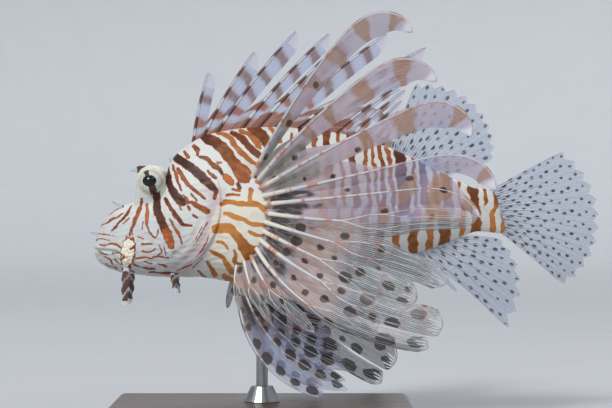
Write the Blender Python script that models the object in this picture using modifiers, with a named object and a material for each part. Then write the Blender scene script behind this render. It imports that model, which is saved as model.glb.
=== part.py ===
"""A life-size red lionfish, swimming, held over a plain display base by one rod.

Metres, +Z up. The fish faces -X and its left side faces -Y. The origin is the centre of the base's
underside. Sizes named here are in millimetres, and MM turns them into metres as meshes are made. Heights on
the fish are counted from its own level, which an empty lowers towards the base.
"""

import math

import bmesh
import bpy
from mathutils import Matrix, Vector

MM = 0.001
GAP = 0.3
ROOT_GAP = 0.5
FISH_LEVEL = -16.0
SIDES = ((-1, "left"), (1, "right"))

# Body, from the tip of the snout to the root of the tail fin:
# x, height of the back, of the belly and of the widest point, and half the breadth.
BODY_STATIONS = (
    (-100.2, 119.4, 119.4, 119.4, 0.0),
    (-99.3, 126.0, 114.0, 119.5, 7.0),
    (-94.8, 136.4, 109.5, 119.5, 11.5),
    (-86.4, 143.8, 105.9, 119.5, 15.0),
    (-76.8, 148.0, 104.4, 120.0, 18.5),
    (-67.2, 155.4, 103.2, 121.0, 21.5),
    (-58.2, 162.0, 102.6, 123.0, 24.0),
    (-54.8, 171.6, 102.6, 125.0, 25.0),
    (-47.5, 179.6, 102.6, 128.0, 26.0),
    (-34.2, 187.4, 102.3, 134.0, 26.5),
    (-13.2, 191.7, 99.0, 140.0, 26.5),
    (7.8, 192.6, 97.2, 143.0, 25.0),
    (34.8, 190.8, 100.5, 146.0, 21.5),
    (61.8, 185.4, 108.6, 147.0, 17.0),
    (85.8, 176.4, 114.6, 146.0, 12.0),
    (109.8, 164.4, 122.4, 143.5, 7.8),
    (127.8, 156.6, 129.6, 143.0, 5.0),
    (141.0, 155.4, 128.7, 142.0, 3.2),
    (144.6, 152.0, 131.0, 142.0, 0.6),
)
RINGS_PER_STATION = 2
PLACE_HALVINGS = 40
RING_POINTS = 24
BACK_SQUARENESS = 1.8
BELLY_SQUARENESS = 2.2

# The tail swings towards the fish's right, which is +Y, and its end slants down and back.
SWING_FROM_X = 10.0
SWING_TO_X = 145.0
SWING = 14.0
SLANT_FROM_X = 122.0
SLANT_MIDDLE = 142.0
SLANT = 0.27

# Each eye stands in a round turret on the upper edge of the head.
EYE_X = -65.4
EYE_OUT = 11.2
EYE_HEIGHT = 159.6
TURRET_RADIUS = 9.9
EYE_RADIUS = 8.3
EYE_PROUD = 2.5
EYE_SEGMENTS = 16
EYE_RINGS = 10
HEAD_CORE_HEIGHT = 132.0
HEAD_CORE_RADIUS = 1.0
TURRET_FLAT = 0.72
TURRET_EDGE = 1.2

# The fleshy lobe that carries each pectoral fin, and its rim, an ellipse seen from the side.
LOBE_X = -20.4
LOBE_HEIGHT = 139.8
LOBE_HALF_LENGTH = 22.8
LOBE_HALF_HEIGHT = 30.0
LOBE_RISE = 9.0
LOBE_FRONT = -0.4
LOBE_EDGE = 0.28
LOBE_FADE = 6.0
PECTORAL_ROOT_ANGLES = (48.0, -8.2, -0.17)

# The head ends at the rear edge of the gill covers, a round edge seen from the side.
GILL_X = -73.2
GILL_HEIGHT = 147.6
GILL_RADIUS = 48.6
TAIL_FROM_X = 112.0
CUTTER_DEPTH = 120.0
DRUM_SIDES = 56

# The lower jaw, seen from the side: along the lips, down behind the corner of the mouth.
JAW_OUTLINE = ((-112, 119.6), (-86, 117.0), (-80, 111.0), (-77, 96.0), (-112, 96.0))

ROOT_DEPTH = 2.2
CURL_FROM = 0.66
CURL_POWER = 2.0
TIP_CROWDING = 0.65
RAY_STEPS = 6
MEMBRANE_THICKNESS = 0.8
SPINE_SHEET_THICKNESS = 1.2
LEAST_WIDTH = 0.35
LOBE_ROOM = 0.9
NOTCH_STEPS = 2
RAY_TAPER = (0.84, 1.0)
FLAG_TAPER = (0.88, 1.0)

# Pectoral rays, top to bottom: first angle above level, bend, curl of the tip (degrees), length, share of
# the length joined to the next ray, and width of the free membrane on the upper and on the lower side. The
# left fin, side -1, is held up and out; the right one hangs lower, with its upper rays spread further out.
PECTORAL_RAYS = (
    (64, -21, -120, 163, 0.16, 0.6, 13.0),
    (50.5, -20, -112, 154, 0.26, 0.6, 14.5),
    (30.5, -8, -130, 164, 0.38, 0.6, 14.5),
    (12, 2, -105, 165, 0.76, 0.6, 15.0),
    (5, 2, -80, 147, 0.94, 1.5, 9.0),
    (-9, 15, 0, 138, 0.62, 6.0, 3.0),
    (-17, 5, -28, 126, 0.46, 2.5, 6.0),
    (-27, 7, 0, 110, 0.50, 5.0, 6.0),
    (-39, 27, 0, 132, 0.66, 7.0, 9.0),
    (-59, 56, 0, 134, 0.46, 9.0, 5.0),
    (-66, 24, 30, 68, 0.62, 7.0, 0.6),
    (-80, 20, 25, 46, 0.62, 5.0, 0.6),
    (-104, 30, 10, 31, 1.0, 3.0, 0.6),
)
PECTORAL_FLARE = {-1: (46.0, 14.0), 1: (26.0, 5.0)}
PECTORAL_TWIST = {-1: 0.0, 1: 32.0}
PECTORAL_STEPS = 10
PECTORAL_SUNK = 1.0
PECTORAL_DROP = {-1: 0.0, 1: -19.0}

# Pelvic rays, front to back: first angle, bend, curl, length, joined share.
PELVIC_RAYS = (
    (-98, 84, 0, 92, 0.90),
    (-76, 60, 0, 95, 0.80),
    (-67, 52, 0, 85, 0.80),
    (-60, 46, 0, 73, 0.84),
    (-54, 42, 0, 61, 0.88),
    (-48, 38, 0, 49, 1.0),
)
PELVIC_ROOT = (-13.2, 99.5)
PELVIC_ROOT_STEP = 1.6
PELVIC_OUT = 6.0
PELVIC_FLARE = (24.0, 6.0)
PELVIC_WIDTHS = (0.8, 3.0)

# Dorsal spines, front to back: x of the root, first angle, length, width of the flag behind.
DORSAL_SPINES = (
    (-41, 83, 42, 6.0),
    (-35, 64, 59, 8.0),
    (-27, 57, 77, 8.0),
    (-12, 52.5, 77, 7.5),
    (-2, 49.5, 82, 7.5),
    (8, 45, 87, 7.5),
    (21, 37, 91, 7.0),
    (33, 38, 71, 4.6),
    (44.5, 41.5, 55, 4.2),
    (54, 46, 42, 3.2),
    (61.5, 51, 32, 2.2),
    (67.3, 56.5, 24, 1.2),
    (72.5, 64, 20, 0.9),
)
DORSAL_SPINE_BEND = -10.0
DORSAL_WEB_SHARE = 0.14
SPINE_LEAD = 0.8

# Soft fins: root from x to x, first and last ray's angle, lengths of the first, middle and last ray.
SOFT_DORSAL = {"roots": (79.0, 110.0), "angles": (74, 24), "lengths": (42, 49, 32), "rays": 11, "bend": -8}
ANAL_FIN = {"roots": (98.0, 118.0), "angles": (-39, -2), "lengths": (70, 54, 28), "rays": 7, "bend": -6}
ANAL_SPINES = ((86, -57, 15), (90, -47, 25), (94, -43, 33))
ANAL_SPINE_BEND = -4.0
ANAL_SPINE_JOINED = 0.5
TAIL_FIN = {"angles": (29, -36), "lengths": (62, 78, 63), "rays": 12, "bend": -4}
TAIL_FIN_ROOTS = ((139.5, 154.2), (143.6, 142.0), (145.5, 130.4))
TAIL_FIN_FLARE = (24.0, 38.0)
SOFT_JOINED_SHARE = 0.93
SOFT_WIDTHS = (1.0, 1.8)
SOFT_FLARE_GROWTH = 1.6

# Skin flaps: root x, height and distance out, angle, bend, length, half width, flare.
BROW_FLAP = ((-70.8, 168.8, 13.4), 178, 14, 6.5, 0.9, 10)
NOSE_FLAP = ((-84.0, 145.0, 4.5), 142, 10, 6.5, 1.0, 15)
SNOUT_FLAP = ((-96.6, 128.8, 6.0), 160, 20, 6.0, 1.4, 20)
MOUTH_FLAP = ((-80.2, 106.5, 15.0), -90, -4, 21.0, 3.2, 4)
CHEEK_FLAP = ((-52.5, 103.5, 15.0), -84, 8, 11.5, 1.7, 4)
FLAP_STEPS = 4

BASE_LENGTH = 180.0
BASE_DEPTH = 110.0
BASE_HEIGHT = 12.0
BASE_BEVEL = 3.0
BASE_BEVEL_STEPS = 2
COLLAR_HEIGHT = 9.0
COLLAR_RADII = (11.0, 6.5)
COLLAR_SIDES = 32
ROD_RADIUS = 3.5
ROD_SIDES = 24
ROD_TOP = 92.0

# Finishes: name, colour, roughness and metallic share.
FINISHES = {
    "skin": ("striped_skin", (0.80, 0.66, 0.56), 0.45, 0.0),
    "fin": ("fin_membrane", (0.52, 0.42, 0.42), 0.40, 0.0),
    "spine": ("spine_membrane", (0.42, 0.26, 0.20), 0.42, 0.0),
    "eye": ("eye", (0.75, 0.74, 0.70), 0.12, 0.0),
    "base": ("stand_wood", (0.09, 0.06, 0.045), 0.5, 0.0),
    "steel": ("stand_steel", (0.62, 0.62, 0.63), 0.3, 1.0),
}


def material(name, colour, roughness, metallic):
    made = bpy.data.materials.new(name)
    made.use_nodes = True
    shader = made.node_tree.nodes["Principled BSDF"]
    shader.inputs["Base Color"].default_value = (*colour, 1.0)
    shader.inputs["Roughness"].default_value = roughness
    shader.inputs["Metallic"].default_value = metallic
    return made


def new_collection(name, helper=False):
    made = bpy.data.collections.new(name)
    bpy.context.scene.collection.children.link(made)
    made.hide_render = helper
    return made


def put_in(obj, collection):
    for old in list(obj.users_collection):
        old.objects.unlink(obj)
    collection.objects.link(obj)


def fish_level():
    """The empty that every piece of the fish hangs from, made when it is first needed."""
    level = bpy.data.objects.get("fish level")
    if level is None:
        level = bpy.data.objects.new("fish level", None)
        level.location.z = FISH_LEVEL * MM
        bpy.context.scene.collection.objects.link(level)
    return level


def mesh_object(name, points, faces, collection, finish=None):
    """A piece of the fish from points in millimetres, with its faces turned outwards."""
    mesh = bpy.data.meshes.new(name)
    mesh.from_pydata([Vector(p) * MM for p in points], [], faces)
    sheet = bmesh.new()
    sheet.from_mesh(mesh)
    bmesh.ops.recalc_face_normals(sheet, faces=sheet.faces)
    sheet.to_mesh(mesh)
    sheet.free()
    obj = bpy.data.objects.new(name, mesh)
    obj.parent = fish_level()
    collection.objects.link(obj)
    if finish:
        mesh.materials.append(finish)
    mesh.shade_smooth()
    return obj


def as_helper(obj):
    obj.hide_render = True
    obj.display_type = "WIRE"
    return obj


def cut(obj, cutter, operation="DIFFERENCE"):
    modifier = obj.modifiers.new("cut by " + cutter.name, "BOOLEAN")
    modifier.operation = operation
    modifier.object = cutter
    modifier.solver = "EXACT"


def thicken(obj, thickness):
    modifier = obj.modifiers.new("thickness", "SOLIDIFY")
    modifier.thickness = thickness * MM
    modifier.offset = 0.0


def smooth_step(value):
    value = min(max(value, 0.0), 1.0)
    return value * value * (3 - 2 * value)


def spline(rows, column, place):
    """A smooth curve through one column of a table; place counts rows from 0."""
    row = min(int(place), len(rows) - 2)
    share = place - row
    a, b, c, d = (rows[min(max(row + k, 0), len(rows) - 1)][column] for k in (-1, 0, 1, 2))
    square = (2 * a - 5 * b + 4 * c - d) * share**2
    cube = (3 * b - a - 3 * c + d) * share**3
    return 0.5 * (2 * b + (c - a) * share + square + cube)


def place_of(x):
    """The place along the body, counted in stations, where the body's section is at x."""
    low, high = 0.0, len(BODY_STATIONS) - 1.0
    for _ in range(PLACE_HALVINGS):
        middle = (low + high) / 2
        if spline(BODY_STATIONS, 0, middle) < x:
            low = middle
        else:
            high = middle
    return (low + high) / 2


def swing_at(x):
    share = max(0.0, (x - SWING_FROM_X) / (SWING_TO_X - SWING_FROM_X))
    return SWING * share**2


def slant_at(x, z):
    """How far the tail's slanted end moves a point backwards, or forwards above the middle."""
    share = max(0.0, (x - SLANT_FROM_X) / (SWING_TO_X - SLANT_FROM_X))
    return SLANT * share * (SLANT_MIDDLE - z)


def back_height(x):
    return spline(BODY_STATIONS, 1, place_of(x))


def belly_height(x):
    return spline(BODY_STATIONS, 2, place_of(x))


def lobe_height(x, z):
    """How far the fin's fleshy lobe stands out of the flank at a point seen from the side."""
    ramp = smooth_step(((x - LOBE_X) / LOBE_HALF_LENGTH - LOBE_FRONT) / (1 - LOBE_FRONT))
    reach = math.hypot((x - LOBE_X) / LOBE_HALF_LENGTH, (z - LOBE_HEIGHT) / LOBE_HALF_HEIGHT)
    return LOBE_RISE * ramp * (1 - smooth_step((reach - 1) / LOBE_EDGE))


def half_breadth(x, z):
    """Distance from the middle plane to the body's side, lobe included, at x and z."""
    place = place_of(x)
    back, belly, wide, breadth = (spline(BODY_STATIONS, column, place) for column in (1, 2, 3, 4))
    share, power = (z - wide) / (back - wide), BACK_SQUARENESS
    if z < wide:
        share, power = (wide - z) / (wide - belly), BELLY_SQUARENESS
    side = breadth * max(0.0, 1 - min(1.0, share) ** power) ** (1 / power)
    return side + lobe_height(x, z)


def turret_reach(x, y, z, base_reach, side):
    """The distance from the head's core to the skin, raised to the eye's turret where that stands out."""
    along = Vector((y, z - HEAD_CORE_HEIGHT)) / base_reach
    to_eye = Vector((side * EYE_OUT, EYE_HEIGHT - HEAD_CORE_HEIGHT))
    beside = abs(along.x * to_eye.y - along.y * to_eye.x)
    off_axis = math.hypot(x - EYE_X, beside) / TURRET_RADIUS
    if along.dot(to_eye) <= 0 or off_axis >= TURRET_EDGE:
        return base_reach
    cap = along.dot(to_eye) + TURRET_RADIUS * math.sqrt(max(0.0, 1 - off_axis**2))
    weight = 1 - smooth_step((off_axis - TURRET_FLAT) / (TURRET_EDGE - TURRET_FLAT))
    return base_reach + max(0.0, cap - base_reach) * weight


def skin_point(place, angle):
    """A point of the skin, in millimetres, at a place along the body and an angle round its section."""
    x, back, belly, wide, breadth = (spline(BODY_STATIONS, column, place) for column in range(5))
    across, up = math.cos(angle), math.sin(angle)
    power = BACK_SQUARENESS if up > 0 else BELLY_SQUARENESS
    y = math.copysign(breadth * abs(across) ** (2 / power), across)
    half = back - wide if up > 0 else wide - belly
    z = wide + math.copysign(half * abs(up) ** (2 / power), up)
    side = math.copysign(1.0, across)
    reach = math.hypot(y, z - HEAD_CORE_HEIGHT)
    if up > 0 and x < GILL_X + GILL_RADIUS and reach > HEAD_CORE_RADIUS:
        grown = turret_reach(x, y, z, reach, side) / reach
        y, z = y * grown, HEAD_CORE_HEIGHT + (z - HEAD_CORE_HEIGHT) * grown
    y += side * lobe_height(x, z) * min(1.0, abs(y) / LOBE_FADE)
    return Vector((x + slant_at(x, z), y + swing_at(x), z))


def body_object(name, collection, finish=None, grow=0.0):
    """The whole body as one closed skin; grow moves it outwards, to cut what touches it."""
    rings = (len(BODY_STATIONS) - 1) * RINGS_PER_STATION
    points = [skin_point(0, 0)]
    faces = []
    for ring in range(1, rings + 1):
        for step in range(RING_POINTS):
            angle = 2 * math.pi * (step + 0.5) / RING_POINTS
            points.append(skin_point(ring / RINGS_PER_STATION, angle))
    for step in range(RING_POINTS):
        following = (step + 1) % RING_POINTS
        faces.append((0, 1 + step, 1 + following))
        for ring in range(rings - 1):
            here, beyond = 1 + ring * RING_POINTS, 1 + (ring + 1) * RING_POINTS
            faces.append((here + step, beyond + step, beyond + following, here + following))
    last = 1 + (rings - 1) * RING_POINTS
    faces.append(tuple(range(last, last + RING_POINTS)))
    obj = mesh_object(name, points, faces, collection, finish)
    if grow:
        swell = obj.modifiers.new("clearance", "DISPLACE")
        swell.direction = "NORMAL"
        swell.mid_level = 0.0
        swell.strength = grow * MM
    return obj


def prism(name, outline, collection):
    """A block with an outline in x and z, right across the body, for cutting."""
    count = len(outline)
    points = [(x, side * CUTTER_DEPTH / 2, z) for side in (-1, 1) for x, z in outline]
    faces = [tuple(range(count)), tuple(range(2 * count - 1, count - 1, -1))]
    faces += [(k, k + count, (k + 1) % count + count, (k + 1) % count) for k in range(count)]
    return as_helper(mesh_object(name, points, faces, collection))


def grown_outline(outline, distance):
    """The outline with each edge moved outwards; the outline runs clockwise seen from the left."""
    grown = []
    for k, corner in enumerate(outline):
        before, here, after = Vector(outline[k - 1]), Vector(corner), Vector(outline[(k + 1) % len(outline)])
        first, second = (here - before).normalized(), (after - here).normalized()
        outward = Vector((-first.y, first.x)) + Vector((-second.y, second.x))
        grown.append(tuple(here + outward.normalized() * distance * 2 / outward.length))
    return grown


def drum(name, radius, collection):
    """The round block that holds the head, up to the rear edge of the gill covers."""
    bpy.ops.mesh.primitive_cylinder_add(
        vertices=DRUM_SIDES,
        radius=radius * MM,
        depth=CUTTER_DEPTH * MM,
        location=Vector((GILL_X, 0, GILL_HEIGHT)) * MM,
        rotation=(math.pi / 2, 0, 0),
    )
    return as_helper(claim(bpy.context.object, name, collection))


def claim(obj, name, collection, finish=None):
    """Takes a new primitive into the fish: its name, its collection, its level and its finish."""
    obj.name = name
    obj.parent = fish_level()
    put_in(obj, collection)
    obj.data.shade_smooth()
    if finish:
        obj.data.materials.append(finish)
    return obj


def slab(name, x, collection):
    """Everything behind x, as a block."""
    low, high, back = BASE_HEIGHT, 2 * GILL_HEIGHT, x + CUTTER_DEPTH
    return prism(name, ((x, low), (x, high), (back, high), (back, low)), collection)


def ball(name, radius, side, collection, finish=None):
    bpy.ops.mesh.primitive_uv_sphere_add(
        segments=EYE_SEGMENTS,
        ring_count=EYE_RINGS,
        radius=radius * MM,
        location=Vector((EYE_X, side * (EYE_OUT + EYE_PROUD), EYE_HEIGHT)) * MM,
        rotation=(math.pi / 2, 0, 0),
    )
    return claim(bpy.context.object, name, collection, finish)


def share_at(step, steps):
    """The share of a ray's length that a step has reached; the steps shorten towards the tip."""
    even = step / steps
    return even * (1 + TIP_CROWDING - TIP_CROWDING * even)


def ray_path(root, length, start, bend, curl=0.0, flare=(0.0, 0.0), side=1, steps=RAY_STEPS):
    """Points along a fin ray from inside the skin: angles are above level, flare is out from the body."""
    points = []
    before = 0.0
    for step in range(steps + 1):
        share = share_at(step, steps)
        middle = (share + before) / 2
        turned = max(0.0, (middle - CURL_FROM) / (1 - CURL_FROM)) ** CURL_POWER
        rise = math.radians(start + bend * middle + curl * turned)
        out = math.radians(flare[0] + (flare[1] - flare[0]) * middle)
        level = math.cos(out)
        heading = Vector((math.cos(rise) * level, side * math.sin(out), math.sin(rise) * level))
        if step == 0:
            points.append(Vector(root) - heading * ROOT_DEPTH)
        else:
            points.append(points[-1] + heading * (length + ROOT_DEPTH) * (share - before))
        before = share
    return points


def step_at(share, steps):
    """The step that is nearest to a share of the ray's length."""
    return min(range(1, steps + 1), key=lambda step: abs(share_at(step, steps) - share))


def heading_at(path, step):
    """The direction in which a ray runs at one of its steps."""
    return (path[min(step + 1, len(path) - 1)] - path[max(step - 1, 0)]).normalized()


def towards(paths, ray, neighbour, step):
    """The direction in the fin's surface from a point of one ray towards a neighbour; a curled tip stays flat."""
    path = paths[ray]
    flat = min(step, step_at(CURL_FROM, len(path) - 1))
    normal = heading_at(path, flat).cross(paths[neighbour][flat] - path[flat])
    return normal.cross(heading_at(path, step)).normalized()


def lobe_width(width, share, taper):
    """Width of the membrane along a free ray: full as far as the taper's first share, gone at its second."""
    full, gone = taper
    return LEAST_WIDTH + width * math.sqrt(max(0.0, min(1.0, (gone - share) / (gone - full))))


class Fin:
    """A fin as one sheet: membrane between neighbouring rays up to a notch, then a lobe along each ray."""

    def __init__(self, paths, joined, upper_widths, lower_widths, taper=RAY_TAPER):
        self.paths = paths
        self.taper = taper
        self.steps = len(paths[0]) - 1
        self.notches = [step_at(share, self.steps) for share in joined]
        self.widths = {-1: upper_widths, 1: lower_widths}
        self.points = [point for path in paths for point in path]
        self.edges = {}
        self.faces = []

    def on_ray(self, ray, step):
        return ray * (self.steps + 1) + step

    def edge_point(self, ray, step, side):
        """A point on a lobe's edge: halfway to the neighbour at the notch, a width away further out."""
        neighbour = ray + side
        here = self.paths[ray][step]
        width = lobe_width(self.widths[side][ray], share_at(step, self.steps), self.taper)
        if not 0 <= neighbour < len(self.paths):
            return here - towards(self.paths, ray, ray - side, step) * width
        middle = (here + self.paths[neighbour][step]) / 2
        width = min(width, LOBE_ROOM * (middle - here).length)
        free = here + towards(self.paths, ray, neighbour, step) * width
        notch = self.notches[min(ray, neighbour)]
        return middle.lerp(free, smooth_step((step - notch) / NOTCH_STEPS))

    def on_edge(self, ray, step, side):
        """The index of a point on a lobe's edge; two lobes share the point at their notch."""
        first = min(ray, ray + side)
        inside = 0 <= ray + side < len(self.paths)
        key = (first, step) if inside and step == self.notches[first] else (ray, step, side)
        if key not in self.edges:
            self.edges[key] = len(self.points)
            self.points.append(self.edge_point(ray, step, side))
        return self.edges[key]

    def free_strip(self, ray, side, first_step):
        for step in range(first_step, self.steps):
            near, far = self.on_ray(ray, step), self.on_ray(ray, step + 1)
            self.faces.append((near, self.on_edge(ray, step, side), self.on_edge(ray, step + 1, side), far))

    def sheet(self):
        """Points and faces of the whole fin."""
        last = len(self.paths) - 1
        self.free_strip(0, -1, 0)
        self.free_strip(last, 1, 0)
        for ray in range(last):
            notch = self.notches[ray]
            for step in range(notch):
                corners = [(ray, step), (ray + 1, step), (ray + 1, step + 1), (ray, step + 1)]
                face = [self.on_ray(*corner) for corner in corners]
                if step == notch - 1:
                    face.insert(3, self.on_edge(ray, notch, 1))
                self.faces.append(tuple(face))
            self.free_strip(ray, 1, notch)
            self.free_strip(ray + 1, -1, notch)
        return self.points, self.faces


def fin(name, shape, collection, finish, thickness=MEMBRANE_THICKNESS):
    points, faces = shape.sheet()
    obj = mesh_object(name, points, faces, collection, finish)
    thicken(obj, thickness)
    return obj


def even_fin(paths, joined, widths):
    """A fin whose rays all have the same joined share and the same lobes."""
    count = len(paths)
    return Fin(paths, [joined] * count, [widths[0]] * count, [widths[1]] * count)


def flap(name, spec, side, collection, finish):
    """A small skin flap: one narrow leaf with a blunt tip."""
    (x, z, out), angle, bend, length, half_width, flare = spec
    path = ray_path((x, side * out, z), length, angle, bend, 0.0, (flare, flare), side, FLAP_STEPS)
    along = (path[1] - path[0]).normalized()
    across = Vector((0, 1, 0)).cross(along).normalized() * side
    points, faces = [], []
    for k, point in enumerate(path):
        width = LEAST_WIDTH + half_width * math.sqrt(max(0.0, 1 - (k / FLAP_STEPS) ** 2))
        points += [point - across * width, point + across * width]
        if k:
            faces.append((2 * k - 2, 2 * k - 1, 2 * k + 1, 2 * k))
    obj = mesh_object(name, points, faces, collection, finish)
    thicken(obj, MEMBRANE_THICKNESS)
    return obj


def turned_about(path, pivot, degrees):
    """A path turned about a sideways axis through the pivot; positive lifts its far end."""
    turn = Matrix.Rotation(math.radians(-degrees), 3, "Y")
    return [Vector(pivot) + turn @ (point - Vector(pivot)) for point in path]


def pectoral_paths(side):
    """The rays of one pectoral fin, rooted on the rim of its fleshy lobe."""
    paths = []
    first, step, growth = PECTORAL_ROOT_ANGLES
    for k, (start, bend, curl, length, *_) in enumerate(PECTORAL_RAYS):
        angle = math.radians(first + step * k + growth * k * k)
        x = LOBE_X + LOBE_HALF_LENGTH * math.cos(angle)
        z = LOBE_HEIGHT + LOBE_HALF_HEIGHT * math.sin(angle)
        root = (x, side * (half_breadth(x, z) - PECTORAL_SUNK), z)
        twist = PECTORAL_TWIST[side] * (1 - k / (len(PECTORAL_RAYS) - 1))
        flare = [value + twist for value in PECTORAL_FLARE[side]]
        path = ray_path(root, length, start, bend, curl, flare, side, PECTORAL_STEPS)
        paths.append(turned_about(path, root, PECTORAL_DROP[side]))
    return paths


def pelvic_paths(side):
    paths = []
    for k, (start, bend, curl, length, _) in enumerate(PELVIC_RAYS):
        x = PELVIC_ROOT[0] + PELVIC_ROOT_STEP * k
        root = (x, side * PELVIC_OUT, PELVIC_ROOT[1])
        paths.append(ray_path(root, length, start, bend, curl, PELVIC_FLARE, side))
    return paths


def three_way(values, share):
    """A value along a smooth curve that passes through the first, middle and last of three."""
    first, middle, last = values
    return first + (4 * middle - 3 * first - last) * share + (2 * first + 2 * last - 4 * middle) * share**2


def soft_fin_paths(spec, edge_height):
    """Rays spread evenly from a root along the back or belly, following the tail's swing."""
    paths = []
    for k in range(spec["rays"]):
        share = k / (spec["rays"] - 1)
        x = spec["roots"][0] + (spec["roots"][1] - spec["roots"][0]) * share
        angle = spec["angles"][0] + (spec["angles"][1] - spec["angles"][0]) * share
        root = (x, swing_at(x), edge_height(x))
        heading = math.degrees(math.atan2(2 * SWING * (x - SWING_FROM_X), (SWING_TO_X - SWING_FROM_X) ** 2))
        flare = heading * abs(math.cos(math.radians(angle)))
        length = three_way(spec["lengths"], share)
        paths.append(ray_path(root, length, angle, spec["bend"], 0.0, (flare, SOFT_FLARE_GROWTH * flare)))
    return paths


def tail_fin_paths():
    paths = []
    for k in range(TAIL_FIN["rays"]):
        share = k / (TAIL_FIN["rays"] - 1)
        x, z = (three_way([root[axis] for root in TAIL_FIN_ROOTS], share) for axis in (0, 1))
        angle = TAIL_FIN["angles"][0] + (TAIL_FIN["angles"][1] - TAIL_FIN["angles"][0]) * share
        length = three_way(TAIL_FIN["lengths"], share)
        root = (x, swing_at(x), z)
        paths.append(ray_path(root, length, angle, TAIL_FIN["bend"], 0.0, TAIL_FIN_FLARE))
    return paths


def straight_paths(spines, edge_height, bend):
    """Paths of single spines along the back or belly, each given by x, angle and length."""
    return [
        ray_path((x, swing_at(x), edge_height(x)), length, angle, bend) for x, angle, length, *_ in spines
    ]


def build_body(fish, helpers, finishes):
    """The head, lower jaw, trunk and tail, parted from one skin by thin cuts, and the eyes."""
    skin = finishes["skin"]
    head_drum = drum("head drum", GILL_RADIUS, helpers)
    rear_drum = drum("rear drum", GILL_RADIUS + GAP, helpers)
    tail_block = slab("tail block", TAIL_FROM_X + GAP, helpers)
    trunk_end = slab("trunk end", TAIL_FROM_X, helpers)
    jaw_block = prism("jaw block", JAW_OUTLINE, helpers)
    jaw_space = prism("jaw space", grown_outline(JAW_OUTLINE, GAP), helpers)

    head = body_object("head", fish, skin)
    cut(head, head_drum, "INTERSECT")
    cut(head, jaw_space)
    jaw = body_object("lower_jaw", fish, skin)
    cut(jaw, jaw_block, "INTERSECT")
    trunk = body_object("trunk", fish, skin)
    cut(trunk, rear_drum)
    cut(trunk, trunk_end)
    tail = body_object("tail", fish, skin)
    cut(tail, tail_block, "INTERSECT")
    for side, word in SIDES:
        ball("eye_" + word, EYE_RADIUS, side, fish, finishes["eye"])
        cut(head, as_helper(ball("socket " + word, EYE_RADIUS + GAP, side, helpers)))


def build_paired_fins(fish, finish):
    """The pectoral and pelvic fins of both sides."""
    _, _, _, _, joined, upper, lower = zip(*PECTORAL_RAYS)
    pelvic_joined = [row[4] for row in PELVIC_RAYS]
    count = len(PELVIC_RAYS)
    made = []
    for side, word in SIDES:
        pectoral = Fin(pectoral_paths(side), joined, upper, lower)
        lobes = [[width] * count for width in PELVIC_WIDTHS]
        pelvic = Fin(pelvic_paths(side), pelvic_joined, *lobes)
        made.append(fin("pectoral_fin_" + word, pectoral, fish, finish))
        made.append(fin("pelvic_fin_" + word, pelvic, fish, finish))
    return made


def build_middle_fins(fish, finishes):
    """The dorsal spines with their flags, the soft dorsal, the anal and the tail fin."""
    membrane = finishes["fin"]
    spines = straight_paths(DORSAL_SPINES, back_height, DORSAL_SPINE_BEND)
    count = len(spines)
    flags = [row[3] for row in DORSAL_SPINES]
    dorsal = Fin(spines, [DORSAL_WEB_SHARE] * count, [SPINE_LEAD] * count, flags, FLAG_TAPER)
    soft = even_fin(soft_fin_paths(SOFT_DORSAL, back_height), SOFT_JOINED_SHARE, SOFT_WIDTHS)
    anal_spines = straight_paths(ANAL_SPINES, belly_height, ANAL_SPINE_BEND)
    anal = even_fin(anal_spines + soft_fin_paths(ANAL_FIN, belly_height), SOFT_JOINED_SHARE, SOFT_WIDTHS)
    anal.notches[: len(anal_spines)] = [step_at(ANAL_SPINE_JOINED, anal.steps)] * len(anal_spines)
    tail = even_fin(tail_fin_paths(), SOFT_JOINED_SHARE, SOFT_WIDTHS)
    return [
        fin("spiny_dorsal_fin", dorsal, fish, finishes["spine"], SPINE_SHEET_THICKNESS),
        fin("soft_dorsal_fin", soft, fish, membrane),
        fin("anal_fin", anal, fish, membrane),
        fin("tail_fin", tail, fish, membrane),
    ]


def build_flaps(fish, finish):
    kinds = (("brow", BROW_FLAP), ("nose", NOSE_FLAP), ("snout", SNOUT_FLAP), ("mouth", MOUTH_FLAP))
    kinds += (("cheek", CHEEK_FLAP),)
    made = []
    for kind, spec in kinds:
        made += [flap(f"{kind}_flap_{word}", spec, side, fish, finish) for side, word in SIDES]
    return made


def build_stand(fish, clearance, finishes):
    """A flat base, a collar and the rod that holds the belly."""
    bpy.ops.mesh.primitive_cube_add(size=1.0, location=(0, 0, BASE_HEIGHT * MM / 2))
    base = bpy.context.object
    base.name = "stand_base"
    base.data.transform(Matrix.Diagonal((BASE_LENGTH * MM, BASE_DEPTH * MM, BASE_HEIGHT * MM, 1)))
    bevel = base.modifiers.new("rounded edges", "BEVEL")
    bevel.width = BASE_BEVEL * MM
    bevel.segments = BASE_BEVEL_STEPS
    foot = BASE_HEIGHT + GAP
    bpy.ops.mesh.primitive_cone_add(
        vertices=COLLAR_SIDES,
        radius1=COLLAR_RADII[0] * MM,
        radius2=COLLAR_RADII[1] * MM,
        depth=COLLAR_HEIGHT * MM,
        location=(0, 0, (foot + COLLAR_HEIGHT / 2) * MM),
    )
    collar = bpy.context.object
    collar.name = "stand_collar"
    low = foot + COLLAR_HEIGHT + GAP
    bpy.ops.mesh.primitive_cylinder_add(
        vertices=ROD_SIDES,
        radius=ROD_RADIUS * MM,
        depth=(ROD_TOP - low) * MM,
        location=(0, 0, (low + ROD_TOP) / 2 * MM),
    )
    rod = bpy.context.object
    rod.name = "stand_rod"
    cut(rod, clearance)
    for obj, finish in ((base, "base"), (collar, "steel"), (rod, "steel")):
        put_in(obj, fish)
        obj.data.materials.append(finishes[finish])


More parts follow.
